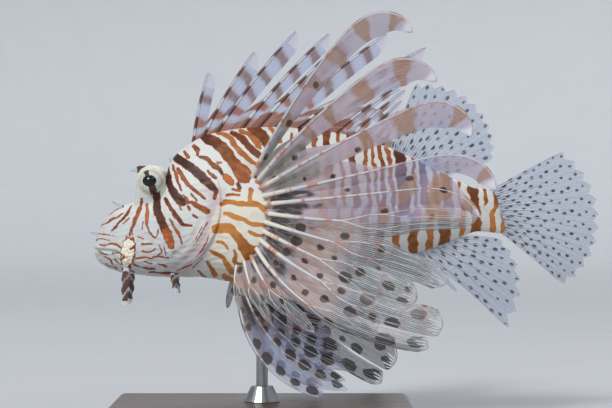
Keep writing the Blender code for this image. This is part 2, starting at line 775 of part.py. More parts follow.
def main():
    for obj in list(bpy.data.objects):
        bpy.data.objects.remove(obj, do_unlink=True)
    fish = new_collection("red lionfish")
    helpers = new_collection("cutters", helper=True)
    finishes = {key: material(*values) for key, values in FINISHES.items()}
    clearance = as_helper(body_object("body clearance", helpers, grow=ROOT_GAP))
    build_body(fish, helpers, finishes)
    fins = build_paired_fins(fish, finishes["fin"]) + build_middle_fins(fish, finishes)
    for obj in fins + build_flaps(fish, finishes["skin"]):
        cut(obj, clearance)
    build_stand(fish, clearance, finishes)


main()
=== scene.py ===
"""The looks of a life-size red lionfish on a plain display stand.

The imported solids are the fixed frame. Sizes here are in millimetres on the fish's own level, with the snout
towards -X and the left side towards -Y, as in the solids' source. MM and FISH_LEVEL take them to the frame.
Places of markings are as the camera sees the fish's left side, on the plane through its middle.
"""

import logging
import math
from collections.abc import Callable, Sequence
from dataclasses import dataclass, field
from enum import Enum
from typing import Any

import bmesh
import bpy
import numpy as np
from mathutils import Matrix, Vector

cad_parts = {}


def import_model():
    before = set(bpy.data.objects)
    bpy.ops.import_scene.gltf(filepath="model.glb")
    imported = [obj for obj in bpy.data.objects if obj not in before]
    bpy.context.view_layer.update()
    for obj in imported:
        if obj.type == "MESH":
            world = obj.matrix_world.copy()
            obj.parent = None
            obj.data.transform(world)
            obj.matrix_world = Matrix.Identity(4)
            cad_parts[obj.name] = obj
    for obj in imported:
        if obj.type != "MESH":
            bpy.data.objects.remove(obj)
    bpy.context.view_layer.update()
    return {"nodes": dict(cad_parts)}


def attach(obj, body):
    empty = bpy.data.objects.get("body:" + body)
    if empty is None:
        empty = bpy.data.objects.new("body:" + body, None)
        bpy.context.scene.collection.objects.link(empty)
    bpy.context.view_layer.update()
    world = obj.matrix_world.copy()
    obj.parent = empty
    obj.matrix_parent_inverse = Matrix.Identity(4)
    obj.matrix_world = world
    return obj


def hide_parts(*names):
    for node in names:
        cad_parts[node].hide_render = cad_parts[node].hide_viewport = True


Array = np.ndarray
Colour = tuple[float, float, float, float]
Pair = tuple[float, float]
Triple = tuple[float, float, float]
Row = tuple[float, ...]
Piece = bpy.types.Object
Material = bpy.types.Material
Socket = bpy.types.NodeSocket

MM = 0.001
FISH_LEVEL = -16.0
BODY = "root"
BAKE_MAP = "OFBake"
WELD = 1e-6
LEAST_LENGTH = 1e-9
CURVE_STEPS = 6
OUTSIDE = -6.0
log = logging.getLogger("lionfish")


class Side(Enum):
    """A side of the fish, with the sign of its Y."""

    LEFT = -1
    RIGHT = 1

    @property
    def word(self) -> str:
        """The side's name as the nodes spell it."""
        return self.name.lower()


class Edge(Enum):
    """An edge of the membrane along a fin ray, with the sign that it has across the ray."""

    UPPER = -1
    LOWER = 1


class Rim(Enum):
    """An outline of the body, with its place among what a section gives."""

    BACK = 0
    BELLY = 1


Looks = Callable[[int, Edge, Array, Array], dict[str, Array | float]]
Band = Callable[[int, Array], Array]


def screen(red: int, green: int, blue: int) -> Colour:
    """A colour as a screen shows it, 0 to 255 a channel, turned into the shader's own scale.

    Args:
        red: the red channel.
        green: the green channel.
        blue: the blue channel.

    Returns:
        The linear colour with full alpha.
    """
    linear = [((v / 255 + 0.055) / 1.055) ** 2.4 if v > 10 else v / 255 / 12.92 for v in (red, green, blue)]
    return (linear[0], linear[1], linear[2], 1.0)


def smooth(value: Array | float, low: float = 0.0, high: float = 1.0) -> Array:
    """A soft step from 0 at low to 1 at high.

    Args:
        value: the values to step.
        low: where the step starts.
        high: where it ends.

    Returns:
        The stepped values.
    """
    share = np.clip((np.asarray(value, float) - low) / (high - low), 0.0, 1.0)
    return share * share * (3 - 2 * share)


def ridge(value: Array, middle: float, width: float) -> Array:
    """A bell of height 1 round a middle value."""
    return np.exp(-(((value - middle) / width) ** 2))


def spline(rows: Array, place: Array) -> Array:
    """Smooth curves through the rows of a table.

    Args:
        rows: the table, one point to a row.
        place: where to read it, counted in rows from 0.

    Returns:
        One row for each place.
    """
    row = np.clip(place.astype(int), 0, len(rows) - 2)
    share = (place - row)[..., None]
    a, b, c, d = (rows[np.clip(row + k, 0, len(rows) - 1)] for k in (-1, 0, 1, 2))
    square = (2 * a - 5 * b + 4 * c - d) * share**2
    cube = (3 * b - a - 3 * c + d) * share**3
    return 0.5 * (2 * b + (c - a) * share + square + cube)


def ripple(x: Array, z: Array, length: float, phase: float) -> Array:
    """A gentle wandering value between -1 and 1 that repeats nowhere near.

    Args:
        x: first coordinate of the points.
        z: second coordinate of the points.
        length: rough size of its waves.
        phase: shifts the waves, so that two ripples differ.

    Returns:
        The value at each point.
    """
    u, v = x / length, z / length
    first = np.sin(2.1 * u + 1.3 * np.sin(1.7 * v + phase))
    second = np.sin(2.9 * v - 0.8 * u + 1.1 * np.sin(1.9 * u - phase) + 2 * phase)
    return 0.5 * (first + second)


def unit(vectors: Array) -> Array:
    """The vectors at length 1, along the last axis."""
    return vectors / np.maximum(np.linalg.norm(vectors, axis=-1, keepdims=True), LEAST_LENGTH)


class Value:
    """A number that varies over a surface, whose operators add Math nodes."""

    def __init__(self, graph: "Graph", socket: Socket) -> None:
        """Wraps an output socket of a graph."""
        self.graph = graph
        self.socket = socket

    def _math(self, operation: str, first: Any, second: Any) -> "Value":
        """A Math node on two values or numbers."""
        return self.graph.value("ShaderNodeMath", {"operation": operation}, {0: first, 1: second})

    def __add__(self, other: "Value | float") -> "Value":
        """self + other."""
        return self._math("ADD", self, other)

    __radd__ = __add__

    def __sub__(self, other: "Value | float") -> "Value":
        """self - other."""
        return self._math("SUBTRACT", self, other)

    def __rsub__(self, other: float) -> "Value":
        """other - self."""
        return self._math("SUBTRACT", other, self)

    def __mul__(self, other: "Value | float") -> "Value":
        """self * other."""
        return self._math("MULTIPLY", self, other)

    __rmul__ = __mul__

    def most(self, other: "Value | float") -> "Value":
        """The larger of the two."""
        return self._math("MAXIMUM", self, other)

    def least(self, other: "Value | float") -> "Value":
        """The smaller of the two."""
        return self._math("MINIMUM", self, other)

    def step(self, low: float, high: float) -> "Value":
        """A soft step from 0 at low to 1 at high."""
        settings = {"interpolation_type": "SMOOTHSTEP"}
        return self.graph.value("ShaderNodeMapRange", settings, {0: self, 1: low, 2: high})


class Graph:
    """The node tree of one material, with its main shader."""

    def __init__(self, name: str) -> None:
        """Starts a material with a Principled shader.

        Args:
            name: the material's name.
        """
        self.material = bpy.data.materials.new(name)
        self.material.use_nodes = True
        self.tree = self.material.node_tree
        self.shader = self.tree.nodes["Principled BSDF"]
        self.place = self.node("ShaderNodeTexCoord").outputs["Object"]

    def plug(self, socket: Socket, value: Any) -> None:
        """Feeds an input.

        Args:
            socket: the input.
            value: a value, a socket, a number or a colour.
        """
        source = value.socket if isinstance(value, Value) else value
        if isinstance(source, Socket):
            self.tree.links.new(source, socket)
        else:
            socket.default_value = source

    def node(
        self, kind: str, settings: dict[str, Any] | None = None, inputs: dict | None = None
    ) -> bpy.types.Node:
        """Adds a node.

        Args:
            kind: the node's type.
            settings: its own settings, set first.
            inputs: a value, socket, number or colour for each input that is set.

        Returns:
            The node.
        """
        made = self.tree.nodes.new(kind)
        for name, setting in (settings or {}).items():
            setattr(made, name, setting)
        for key, value in (inputs or {}).items():
            self.plug(made.inputs[key], value)
        return made

    def value(self, kind: str, settings: dict[str, Any] | None = None, inputs: dict | None = None) -> Value:
        """Adds a node and wraps its first output."""
        return Value(self, self.node(kind, settings, inputs).outputs[0])

    def pattern(self, name: str) -> Value:
        """The number that the mesh holds under a name at each point."""
        node = self.node("ShaderNodeAttribute", {"attribute_name": name})
        return Value(self, node.outputs["Fac"])

    def noise(self, size: float, detail: float = 2.0, where: Socket | None = None) -> Value:
        """Noise between 0 and 1 whose lumps are about size millimetres."""
        inputs = {"Vector": where or self.place, "Scale": 1 / (size * MM), "Detail": detail}
        return self.value("ShaderNodeTexNoise", None, inputs)

    def mix(self, share: Value, first: Any, second: Any) -> Socket:
        """The colour that is first where share is 0 and second where it is 1."""
        node = self.node("ShaderNodeMix", {"data_type": "RGBA"}, {0: share, 6: first, 7: second})
        return node.outputs[2]

    def stretched(self, x: float, y: float, z: float) -> Socket:
        """The place on the piece with each axis scaled, to draw out the noise read there."""
        settings = {"operation": "MULTIPLY"}
        return self.node("ShaderNodeVectorMath", settings, {0: self.place, 1: (x, y, z)}).outputs[0]

    def relief(self, height: Value, depth: float) -> None:
        """Feeds the shader's normal from a height between 0 and 1, depth millimetres high."""
        bump = self.node("ShaderNodeBump", None, {"Distance": depth * MM, "Height": height})
        self.plug(self.shader.inputs["Normal"], bump.outputs["Normal"])

    def finish(self, **inputs: Any) -> Material:
        """Sets the main shader's sockets, written with _ for a space, and returns the material."""
        for key, value in inputs.items():
            self.plug(self.shader.inputs[key.replace("_", " ")], value)
        return self.material


@dataclass(frozen=True)
class SkinFinish:
    """Wet skin: a pale ground with brown and orange stripes and small scales, and painted shade in bluish
    grey on the lower front of the head.
    """

    ground: Colour = screen(222, 224, 219)
    # Painted shade: the bluish grey laid on the lower front of the head.
    lower_head_shade: Colour = screen(176, 182, 186)
    gill: Colour = screen(200, 180, 184)
    cream: Colour = screen(242, 234, 212)
    edge: Colour = screen(142, 68, 32)
    line: Colour = screen(198, 106, 48)
    core: Colour = screen(64, 30, 13)
    gold_edge: Colour = screen(204, 124, 58)
    gold_line: Colour = screen(206, 138, 66)
    gold_core: Colour = screen(142, 76, 24)
    scale_size: float = 1.1
    scale_depth: float = 0.11

    def build(self) -> Material:
        """The material, from the patterns mark, tone, gold, gill and cream, and the pattern of painted shade
        on the lower front of the head.
        """
        graph = Graph("striped_skin_finish")
        mark = graph.pattern("mark") + (graph.noise(1.3, 3) - 0.5) * 1.0
        mark = mark + (graph.noise(4.5, 2) - 0.5) * 1.1
        gold = graph.pattern("gold")
        mottle = graph.noise(5.0, 4)
        fine = graph.noise(0.8, 3)
        tone = (graph.pattern("tone") + (mottle - 0.5) * 1.1 + (fine - 0.5) * 0.5).step(0.0, 1)
        edge = graph.mix(gold, self.edge, self.gold_edge)
        line = graph.mix(gold, self.line, self.gold_line)
        core = graph.mix(gold, self.core, self.gold_core)
        stripe = graph.mix(mark.step(0.2, 0.7), edge, graph.mix(tone, line, core))
        # Painted shade: the lower front of the head turns a mottled bluish grey.
        ground = graph.mix(graph.pattern("lower_head_shade") * (0.45 + 0.8 * mottle), self.ground, self.lower_head_shade)
        ground = graph.mix(graph.pattern("gill") * (0.4 + 0.8 * mottle), ground, self.gill)
        ground = graph.mix(graph.pattern("cream"), ground, self.cream)
        tinge = graph.noise(7.0, 3).step(0.5, 0.75) * 0.2
        ground = graph.mix(tinge, ground, self.gold_line)
        colour = graph.mix(mark.step(-0.16, 0.2), ground, stripe)
        scales = graph.value(
            "ShaderNodeTexVoronoi",
            {"feature": "SMOOTH_F1"},
            {"Vector": graph.place, "Scale": 1 / (self.scale_size * MM), "Smoothness": 0.4},
        )
        graph.relief(scales * 0.7 + graph.noise(1.6, 5) * 0.4, self.scale_depth)
        return graph.finish(
            Base_Color=colour,
            Roughness=0.48 + 0.2 * mottle,
            Coat_Weight=0.06,
            Coat_Roughness=0.3,
            Specular_IOR_Level=0.35,
        )


@dataclass(frozen=True)
class MembraneFinish:
    """Thin fin membrane with patches, dusky bases, dark spots and pale tips; clear where its veil is low."""

    name: str
    ground: Colour
    patch: Colour
    dusk: Colour
    clear: Colour
    moss: Colour = screen(98, 102, 88)
    deep: Colour = screen(72, 80, 84)
    spot: Colour = screen(34, 20, 20)
    halo: Colour = screen(196, 158, 118)
    pale: Colour = screen(230, 232, 238)
    striae: float = 0.35
    ragged: float = 2.0

    def build(self) -> Material:
        """The material, from the patterns that FinMesh sets on a membrane."""
        graph = Graph(self.name)
        along, across = graph.pattern("along"), graph.pattern("across")
        flow = graph.node("ShaderNodeCombineXYZ", None, {0: along * 0.05 * MM, 1: across * MM})
        lines = graph.noise(0.55, 3.0, flow.outputs[0])
        mottle = graph.noise(6.0, 4)
        fine = graph.noise(1.8, 3)
        veil, rib = graph.pattern("veil"), graph.pattern("rib")
        ground = graph.mix(veil.step(0.45, 0.85), self.clear, self.ground)
        ground = graph.mix(graph.pattern("deep") * (0.7 + 0.6 * mottle), ground, self.deep)
        lane = graph.pattern("lane") * 50.3 + (lines - 0.5) * 3.0
        striae = graph.value("ShaderNodeMath", {"operation": "SINE"}, {0: lane}).step(0.3, 1) * rib
        patch = (graph.pattern("patch") + (mottle - 0.5) * 0.8).step(0.12, 0.95)
        colour = graph.mix(patch * 0.82, ground, self.patch)
        moss = (graph.pattern("moss") + (mottle - 0.5) * 0.4).step(0.1, 0.8)
        colour = graph.mix(moss * 0.85, colour, self.moss)
        dusk = (graph.pattern("dusk") + (mottle - 0.5) * 0.5).step(0.15, 0.6)
        colour = graph.mix(dusk * 0.94, colour, self.dusk)
        colour = graph.mix(lines.step(0.45, 0.7) * (0.08 + 0.2 * rib), colour, self.pale)
        colour = graph.mix(striae * self.striae * along.step(25.0, 60), colour, self.pale)
        spot = graph.pattern("spot") + (graph.noise(2.6, 3) - 0.5) * self.ragged
        colour = graph.mix(spot.step(-1.4, -0.3) * 0.25 * veil.step(0.3, 0.6), colour, self.halo)
        inked = spot.step(-0.6, 0.35)
        colour = graph.mix(inked * 0.95, colour, self.spot)
        tip = (graph.pattern("tip") + (fine - 0.5) * 0.4).step(0.2, 0.9)
        colour = graph.mix(tip * 0.75, colour, self.pale)
        alpha = (veil * (0.85 + 0.3 * lines)).most(inked * 0.94).most(dusk * 0.94).most(patch * 0.9)
        alpha = alpha.most(moss * 0.9).most(tip * 0.9)
        graph.relief(lines * rib + striae * 0.2, 0.14)
        return graph.finish(
            Base_Color=colour,
            Roughness=0.38 + 0.2 * fine,
            Alpha=alpha.least(1.0),
            Coat_Weight=0.15,
            Coat_Roughness=0.25,
        )


@dataclass(frozen=True)
class RayFinish:
    """Bony rays and spines: pale, with tinted lengths, brown bands and fine joints."""

    name: str
    pale: Colour = screen(208, 212, 216)
    tint: Colour = screen(206, 118, 74)
    band: Colour = screen(92, 52, 36)
    tinted: float = 0.8
    joint: float = 1.5
    root: Colour = screen(208, 212, 216)

    def build(self) -> Material:
        """The material, from the patterns along, band and ray."""
        graph = Graph(self.name)
        along = graph.pattern("along")
        row = graph.node("ShaderNodeCombineXYZ", None, {0: along * MM, 1: graph.pattern("ray") * 0.07})
        lengths = graph.noise(9.0, 2.0, row.outputs[0])
        fine = graph.noise(1.5, 3)
        colour = graph.mix(along.step(12.0, 34), self.root, self.pale)
        colour = graph.mix(lengths.step(0.52, 0.62) * self.tinted, colour, self.tint)
        band = (graph.pattern("band") + (fine - 0.5) * 0.5).step(0.3, 0.7)
        colour = graph.mix(band, colour, self.band)
        joints = graph.value("ShaderNodeMath", {"operation": "SINE"}, {0: along * (2 * math.pi / self.joint)})
        graph.relief(joints * 0.3 + fine, 0.12)
        return graph.finish(
            Base_Color=colour, Roughness=0.32 + 0.15 * fine, Coat_Weight=0.25, Coat_Roughness=0.15
        )


@dataclass(frozen=True)
class EyeFinish:
    """A glossy eye: black pupil, silver iris with a golden rim and a brown streak through it."""

    iris: Colour = screen(214, 218, 216)
    rim: Colour = screen(200, 184, 120)
    streak: Colour = screen(78, 46, 28)
    pupil: Colour = screen(4, 4, 5)
    fleck: Colour = screen(128, 112, 92)

    def build(self) -> Material:
        """The material, from the patterns pupil, streak and rim."""
        graph = Graph("eye_finish")
        fine = graph.noise(0.7, 4)
        flecks = graph.noise(1.3, 3).step(0.55, 0.7) * 0.6
        colour = graph.mix(flecks, self.iris, self.fleck)
        rim = (graph.pattern("rim") + (graph.noise(1.6, 3) - 0.5) * 1.2).step(0.35, 0.95)
        colour = graph.mix(rim * 0.6, colour, self.rim)
        streak = graph.pattern("streak") + (fine - 0.5) * 0.9
        colour = graph.mix(streak.step(-0.2, 0.2), colour, self.streak)
        pupil = graph.pattern("pupil") + (fine - 0.5) * 0.12
        colour = graph.mix(pupil.step(-0.08, 0.08), colour, self.pupil)
        return graph.finish(
            Base_Color=colour,
            Roughness=0.16 + 0.14 * fine,
            Coat_Weight=0.7,
            Coat_Roughness=0.03,
            Specular_IOR_Level=0.25,
        )


@dataclass(frozen=True)
class WoodFinish:
    """Dark stained wood under satin varnish, with its grain along X."""

    light: Colour = screen(92, 60, 40)
    dark: Colour = screen(46, 28, 19)
    ring: float = 7.0

    def build(self) -> Material:
        """The material, from stretched noise."""
        graph = Graph("stand_wood_finish")
        where = graph.stretched(0.09, 1.0, 1.0)
        rings = graph.noise(self.ring, 5.0, where)
        pores = graph.noise(0.8, 3.0, where)
        figure = (rings + (pores - 0.5) * 0.45).step(0.3, 0.72)
        graph.relief(pores.step(0.35, 0.65), 0.1)
        return graph.finish(
            Base_Color=graph.mix(figure, self.dark, self.light),
            Roughness=0.34 + 0.18 * pores,
            Coat_Weight=0.3,
            Coat_Roughness=0.22,
        )


@dataclass(frozen=True)
class SteelFinish:
    """Brushed steel with fine turned lines."""

    colour: Colour = screen(188, 190, 192)
    worn: Colour = screen(150, 152, 156)

    def build(self) -> Material:
        """The material, from noise squeezed in height."""
        graph = Graph("stand_steel_finish")
        lines = graph.noise(0.9, 4.0, graph.stretched(0.1, 0.1, 3))
        cloud = graph.noise(9.0, 3)
        graph.relief(lines, 0.02)
        return graph.finish(
            Base_Color=graph.mix(cloud, self.colour, self.worn), Roughness=0.24 + 0.2 * lines, Metallic=1.0
        )


@dataclass(frozen=True)
class FloorFinish:
    """A plain pale matt floor."""

    colour: Colour = screen(196, 199, 203)
    other: Colour = screen(191, 194, 198)

    def build(self) -> Material:
        """The material, with a faint cloudiness."""
        graph = Graph("floor_finish")
        cloud = graph.noise(60.0, 4)
        return graph.finish(Base_Color=graph.mix(cloud, self.colour, self.other), Roughness=0.7)


class Patchwork:
    """Grids of points joined into one mesh, with a number at each point for every pattern."""

    def __init__(self, patterns: Sequence[str] = ()) -> None:
        """Starts an empty patchwork.

        Args:
            patterns: names of the numbers that its points hold.
        """
        self.patterns = {name: [] for name in patterns}
        self.points: list[Array] = []
        self.faces: list[Array] = []
        self.maps: list[Array] = []
        self.count = 0

    def add(self, points: Array, closed: bool = False, **patterns: Array | float) -> None:
        """Adds a grid.

        Args:
            points: rows and columns of points in millimetres.
            closed: whether the last column joins the first.
            **patterns: one number for all, or one for each point.
        """
        rows, columns = points.shape[:2]
        index = self.count + np.arange(rows * columns).reshape(rows, columns)
        after = np.roll(index, -1, axis=1) if closed else index[:, 1:]
        here = index if closed else index[:, :-1]
        faces = np.stack([here[:-1], after[:-1], after[1:], here[1:]], axis=-1)
        self.faces.append(faces.reshape(-1, 4))
        row, column = np.meshgrid(np.arange(rows - 1), np.arange(faces.shape[1]), indexing="ij")
        corners = [(row + i, column + j) for i, j in ((0, 0), (0, 1), (1, 1), (1, 0))]
        spread = [np.stack([j / faces.shape[1], i / (rows - 1)], axis=-1) for i, j in corners]
        self.maps.append(np.stack(spread, axis=2).reshape(-1, 2))
        self.points.append(points.reshape(-1, 3))
        self.count += rows * columns
        for name, kept in self.patterns.items():
            kept.append(np.broadcast_to(patterns.get(name, 0.0), (rows, columns)).ravel())

    def _unwrapped(self, margin: float = 0.02) -> Array:
        """The bake map: every grid has its own column of the square, with a margin on each side."""
        share, width = 1 / len(self.maps), 1 - 2 * margin
        columns = [(k + margin + width * grid[:, 0]) * share for k, grid in enumerate(self.maps)]
        return np.stack([np.concatenate(columns), np.concatenate(self.maps)[:, 1]], axis=-1)

    def build(self, name: str, finish: Material) -> Piece:
        """Makes the mesh, welded where grids meet, on the fish's level in the frame.

        Args:
            name: the piece's name.
            finish: its material.

        Returns:
            The piece, not yet riding on a body.
        """
        points = (np.concatenate(self.points) + (0, 0, FISH_LEVEL)) * MM
        mesh = bpy.data.meshes.new(name)
        mesh.from_pydata(points, [], np.concatenate(self.faces).tolist())
        layer = mesh.uv_layers.new(name=BAKE_MAP)
        layer.data.foreach_set("uv", self._unwrapped().ravel().astype(np.float32))
        for pattern, kept in self.patterns.items():
            numbers = mesh.attributes.new(pattern, "FLOAT", "POINT")
            numbers.data.foreach_set("value", np.concatenate(kept).astype(np.float32))
        work = bmesh.new()
        work.from_mesh(mesh)
        bmesh.ops.remove_doubles(work, verts=work.verts, dist=WELD)
        bmesh.ops.recalc_face_normals(work, faces=work.faces)
        work.to_mesh(mesh)
        work.free()
        mesh.materials.append(finish)
        mesh.shade_smooth()
        piece = bpy.data.objects.new(name, mesh)
        bpy.context.scene.collection.objects.link(piece)
        return piece


def place_piece(piece: Piece, slot: str, nodes: Sequence[str] = ()) -> None:
    """Sets a finished piece on its body, in place of the solids that it stands for.

    Args:
        piece: the new piece.
        slot: a material slot's name from the record; not used.
        nodes: the solids that it replaces, if any.
    """
    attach(piece, BODY)
    if nodes:
        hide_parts(*nodes)
    log.info("%s: %d faces", piece.name, len(piece.data.polygons))


def capped(path: Array, rings: Array) -> Array:
    """The rings round a path with one more at each end, drawn together to a point."""
    ends = [np.repeat(path[k][None, None], rings.shape[1], axis=1) for k in (0, -1)]
    return np.concatenate([ends[0], rings, ends[1]])


def tube(path: Array, radii: Array, sides: int, wide: Array | None = None, flat: float = 1.0) -> Array:
    """Rings of points round a path, closed at both ends.

    Args:
        path: the points of the path.
        radii: the radius at each point.
        sides: points to a ring.
        wide: the direction of the section's wide way at each point, or None for any.
        flat: the section's other half width as a share of the radius.

    Returns:
        One ring to a row.
    """
    along = unit(np.gradient(path, axis=0))
    lead = np.broadcast_to(np.array((0.0, 1.0, 0.0)) if wide is None else wide, path.shape)
    first = unit(lead - along * np.sum(lead * along, axis=1, keepdims=True))
    second = np.cross(along, first)
    angle = 2 * math.pi * np.arange(sides) / sides
    ring = np.cos(angle)[None, :, None] * first[:, None]
    ring = ring + flat * np.sin(angle)[None, :, None] * second[:, None]
    return capped(path, path[:, None] + ring * radii[:, None, None])


@dataclass(frozen=True)
class BodyForm:
    """The shape of the fish's skin, as in the solids."""

    stations: tuple[Row, ...] = (
        (-100.2, 119.4, 119.4, 119.4, 0),
        (-99.3, 126, 114, 119.5, 7),
        (-94.8, 136.4, 109.5, 119.5, 11.5),
        (-86.4, 143.8, 105.9, 119.5, 15),
        (-76.8, 148, 104.4, 120, 18.5),
        (-67.2, 155.4, 103.2, 121, 21.5),
        (-58.2, 162, 102.6, 123, 24),
        (-54.8, 171.6, 102.6, 125, 25),
        (-47.5, 179.6, 102.6, 128, 26),
        (-34.2, 187.4, 102.3, 134, 26.5),
        (-13.2, 191.7, 99, 140, 26.5),
        (7.8, 192.6, 97.2, 143, 25),
        (34.8, 190.8, 100.5, 146, 21.5),
        (61.8, 185.4, 108.6, 147, 17),
        (85.8, 176.4, 114.6, 146, 12),
        (109.8, 164.4, 122.4, 143.5, 7.8),
        (127.8, 156.6, 129.6, 143, 5),
        (141, 155.4, 128.7, 142, 3.2),
        (144.6, 152, 131, 142, 0.6),
    )
    back_squareness: float = 1.8
    belly_squareness: float = 2.2
    swing: Triple = (10.0, 145.0, 14.0)
    slant: Triple = (122.0, 142.0, 0.27)
    eye: Triple = (-65.4, 11.2, 159.6)
    eye_radius: float = 8.3
    eye_proud: float = 2.5
    core_height: float = 132.0
    turret: Triple = (9.9, 0.72, 1.2)
    lobe: Pair = (-20.4, 139.8)
    lobe_half: Pair = (22.8, 30.0)
    lobe_rise: float = 9.0
    lobe_front: float = -0.4
    lobe_edge: float = 0.28
    lobe_fade: float = 6.0
    gill: Triple = (-73.2, 147.6, 48.6)
    readings: int = 2001

    def column(self, place: Array) -> tuple[Array, ...]:
        """x, back, belly, widest height and half breadth at places counted in stations."""
        return tuple(np.moveaxis(spline(np.array(self.stations), place), -1, 0))

    def section(self, x: Array) -> tuple[Array, ...]:
        """Back, belly, widest height and half breadth where the section is at x."""
        places = np.linspace(0, len(self.stations) - 1, self.readings)
        return self.column(np.interp(x, self.column(places)[0], places))[1:]

    def root(self, x: float, rim: Rim) -> Triple:
        """The point of the middle line at x on the back or the belly."""
        return x, float(self.swung(np.array(x))), float(self.section(np.array(x))[rim.value])

    def swung(self, x: Array) -> Array:
        """How far the tail's swing moves the middle plane at x."""
        start, end, most = self.swing
        return most * np.maximum(0.0, (x - start) / (end - start)) ** 2

    def slanted(self, x: Array, z: Array) -> Array:
        """How far the tail's slanted end moves a point backwards."""
        start, middle, share = self.slant
        return share * np.maximum(0.0, (x - start) / (self.swing[1] - start)) * (middle - z)

    def off_lobe(self, x: Array, z: Array) -> Array:
        """Distance from the middle of the lobe that bears the pectoral fin, 1 where its rays leave it."""
        (lobe_x, lobe_z), (half_x, half_z) = self.lobe, self.lobe_half
        return np.hypot((x - lobe_x) / half_x, (z - lobe_z) / half_z)

    def lobe_height(self, x: Array, z: Array) -> Array:
        """How far the pectoral fin's fleshy lobe stands out of the flank.

        Args:
            x: first coordinate of places on the flank.
            z: second coordinate.

        Returns:
            The height at each place.
        """
        ramp = smooth((x - self.lobe[0]) / self.lobe_half[0], self.lobe_front, 1)
        return self.lobe_rise * ramp * (1 - smooth((self.off_lobe(x, z) - 1) / self.lobe_edge))

    def half_breadth(self, x: Array, z: Array) -> Array:
        """Distance from the middle plane to the side of the body, lobe included.

        Args:
            x: first coordinate of places on the flank.
            z: second coordinate.

        Returns:
            The distance at each place.
        """
        back, belly, wide, breadth = self.section(x)
        above = z > wide
        share = np.where(above, (z - wide) / (back - wide), (wide - z) / (wide - belly))
        power = np.where(above, self.back_squareness, self.belly_squareness)
        side = breadth * np.maximum(0.0, 1 - np.clip(share, 0, 1) ** power) ** (1 / power)
        return side + self.lobe_height(x, z)

    def _turret(self, x: Array, y: Array, z: Array, side: Array) -> tuple[Array, Array]:
        """The section's y and z with the eye's turret raised on it."""
        radius, flat, edge = self.turret
        reach = np.maximum(np.hypot(y, z - self.core_height), 1e-6)
        along_y, along_z = y / reach, (z - self.core_height) / reach
        eye_y, eye_z = side * self.eye[1], self.eye[2] - self.core_height
        near = along_y * eye_y + along_z * eye_z
        off_axis = np.hypot(x - self.eye[0], along_y * eye_z - along_z * eye_y) / radius
        cap = near + radius * np.sqrt(np.maximum(0.0, 1 - off_axis**2))
        weight = (1 - smooth(off_axis, flat, edge)) * (near > 0) * (z > self.section(x)[2])
        grown = 1 + np.maximum(0.0, cap - reach) * weight / reach
        return y * grown, self.core_height + (z - self.core_height) * grown

    def skin(self, place: Array, angle: Array) -> Array:
        """Points of the skin.

        Args:
            place: places along the body, counted in stations.
            angle: angles round its section.

        Returns:
            One point for each place and angle.
        """
        x, back, belly, wide, breadth = self.column(place)
        across, up = np.cos(angle), np.sin(angle)
        power = 2 / np.where(up > 0, self.back_squareness, self.belly_squareness)
        y = np.sign(across) * breadth * np.abs(across) ** power
        z = wide + np.sign(up) * np.where(up > 0, back - wide, wide - belly) * np.abs(up) ** power
        side = np.where(across < 0, -1.0, 1.0)
        y, z = self._turret(x, y, z, side)
        y = y + side * self.lobe_height(x, z) * np.minimum(1.0, np.abs(y) / self.lobe_fade)
        return np.stack([x + self.slanted(x, z), y + self.swung(x), z], axis=-1)


@dataclass(frozen=True)
class View:
    """The camera's place: level with the fish, square to its left side."""

    aim: Pair = (26.4, 146.4)
    distance: float = 1200.0
    width: float = 367.2
    sensor: float = 36.0

    def seen(self, points: Array, side: Array | float = -1.0) -> tuple[Array, Array]:
        """Where points show on the middle plane, each side as if the camera stood square to it.

        Args:
            points: the points, in millimetres.
            side: the sign of the side that each is seen from.

        Returns:
            x and z on the middle plane.
        """
        scale = self.distance / (self.distance - side * points[..., 1])
        return tuple(self.aim[k] + (points[..., axis] - self.aim[k]) * scale for k, axis in ((0, 0), (1, 2)))

    def build(self) -> None:
        """Adds the camera."""
        data = bpy.data.cameras.new("camera")
        data.sensor_width = self.sensor
        data.lens = self.sensor * self.distance / self.width
        camera = bpy.data.objects.new("camera", data)
        camera.location = Vector((self.aim[0], -self.distance, self.aim[1] + FISH_LEVEL)) * MM
        camera.rotation_euler = (math.pi / 2, 0, 0)
        bpy.context.scene.collection.objects.link(camera)
        bpy.context.scene.camera = camera


@dataclass(frozen=True)
class Stripe:
    """A stripe seen from the side: its middle line, its widths along it, and how dark it is along it."""

    points: tuple[Pair, ...]
    widths: Row
    tones: Row = (0.2,)

    def paint(self, x: Array, z: Array, mark: Array, tone: Array | None = None, reach: float = 6.0) -> None:
        """Raises mark, the depth inside any stripe, where this one is nearer, and sets its tone there.

        Args:
            x: first coordinate of the skin's points.
            z: second coordinate.
            mark: the depth so far, changed in place.
            tone: the tones so far, changed in place.
            reach: how far from the stripe it is still worked out.
        """
        line = np.array(self.points)
        fine = np.linspace(0, len(line) - 1, CURVE_STEPS * (len(line) - 1) + 1)
        curve = spline(line, fine)
        half = np.interp(fine / fine[-1], np.linspace(0, 1, len(self.widths)), self.widths) / 2
        dark = np.interp(fine / fine[-1], np.linspace(0, 1, len(self.tones)), self.tones)
        low, high = curve.min(0) - reach, curve.max(0) + reach
        near = np.flatnonzero((x > low[0]) & (x < high[0]) & (z > low[1]) & (z < high[1]))
        spots = np.stack([x[near], z[near]], axis=-1)
        for k in range(len(curve) - 1):
            step = curve[k + 1] - curve[k]
            share = np.clip((spots - curve[k]) @ step / (step @ step), 0, 1)
            gap = np.linalg.norm(spots - curve[k] - share[:, None] * step, axis=1)
            depth = half[k] + (half[k + 1] - half[k]) * share - gap
            deeper = depth > mark[near]
            mark[near[deeper]] = depth[deeper]
            if tone is not None:
                tone[near[deeper]] = (dark[k] + (dark[k + 1] - dark[k]) * share)[deeper]


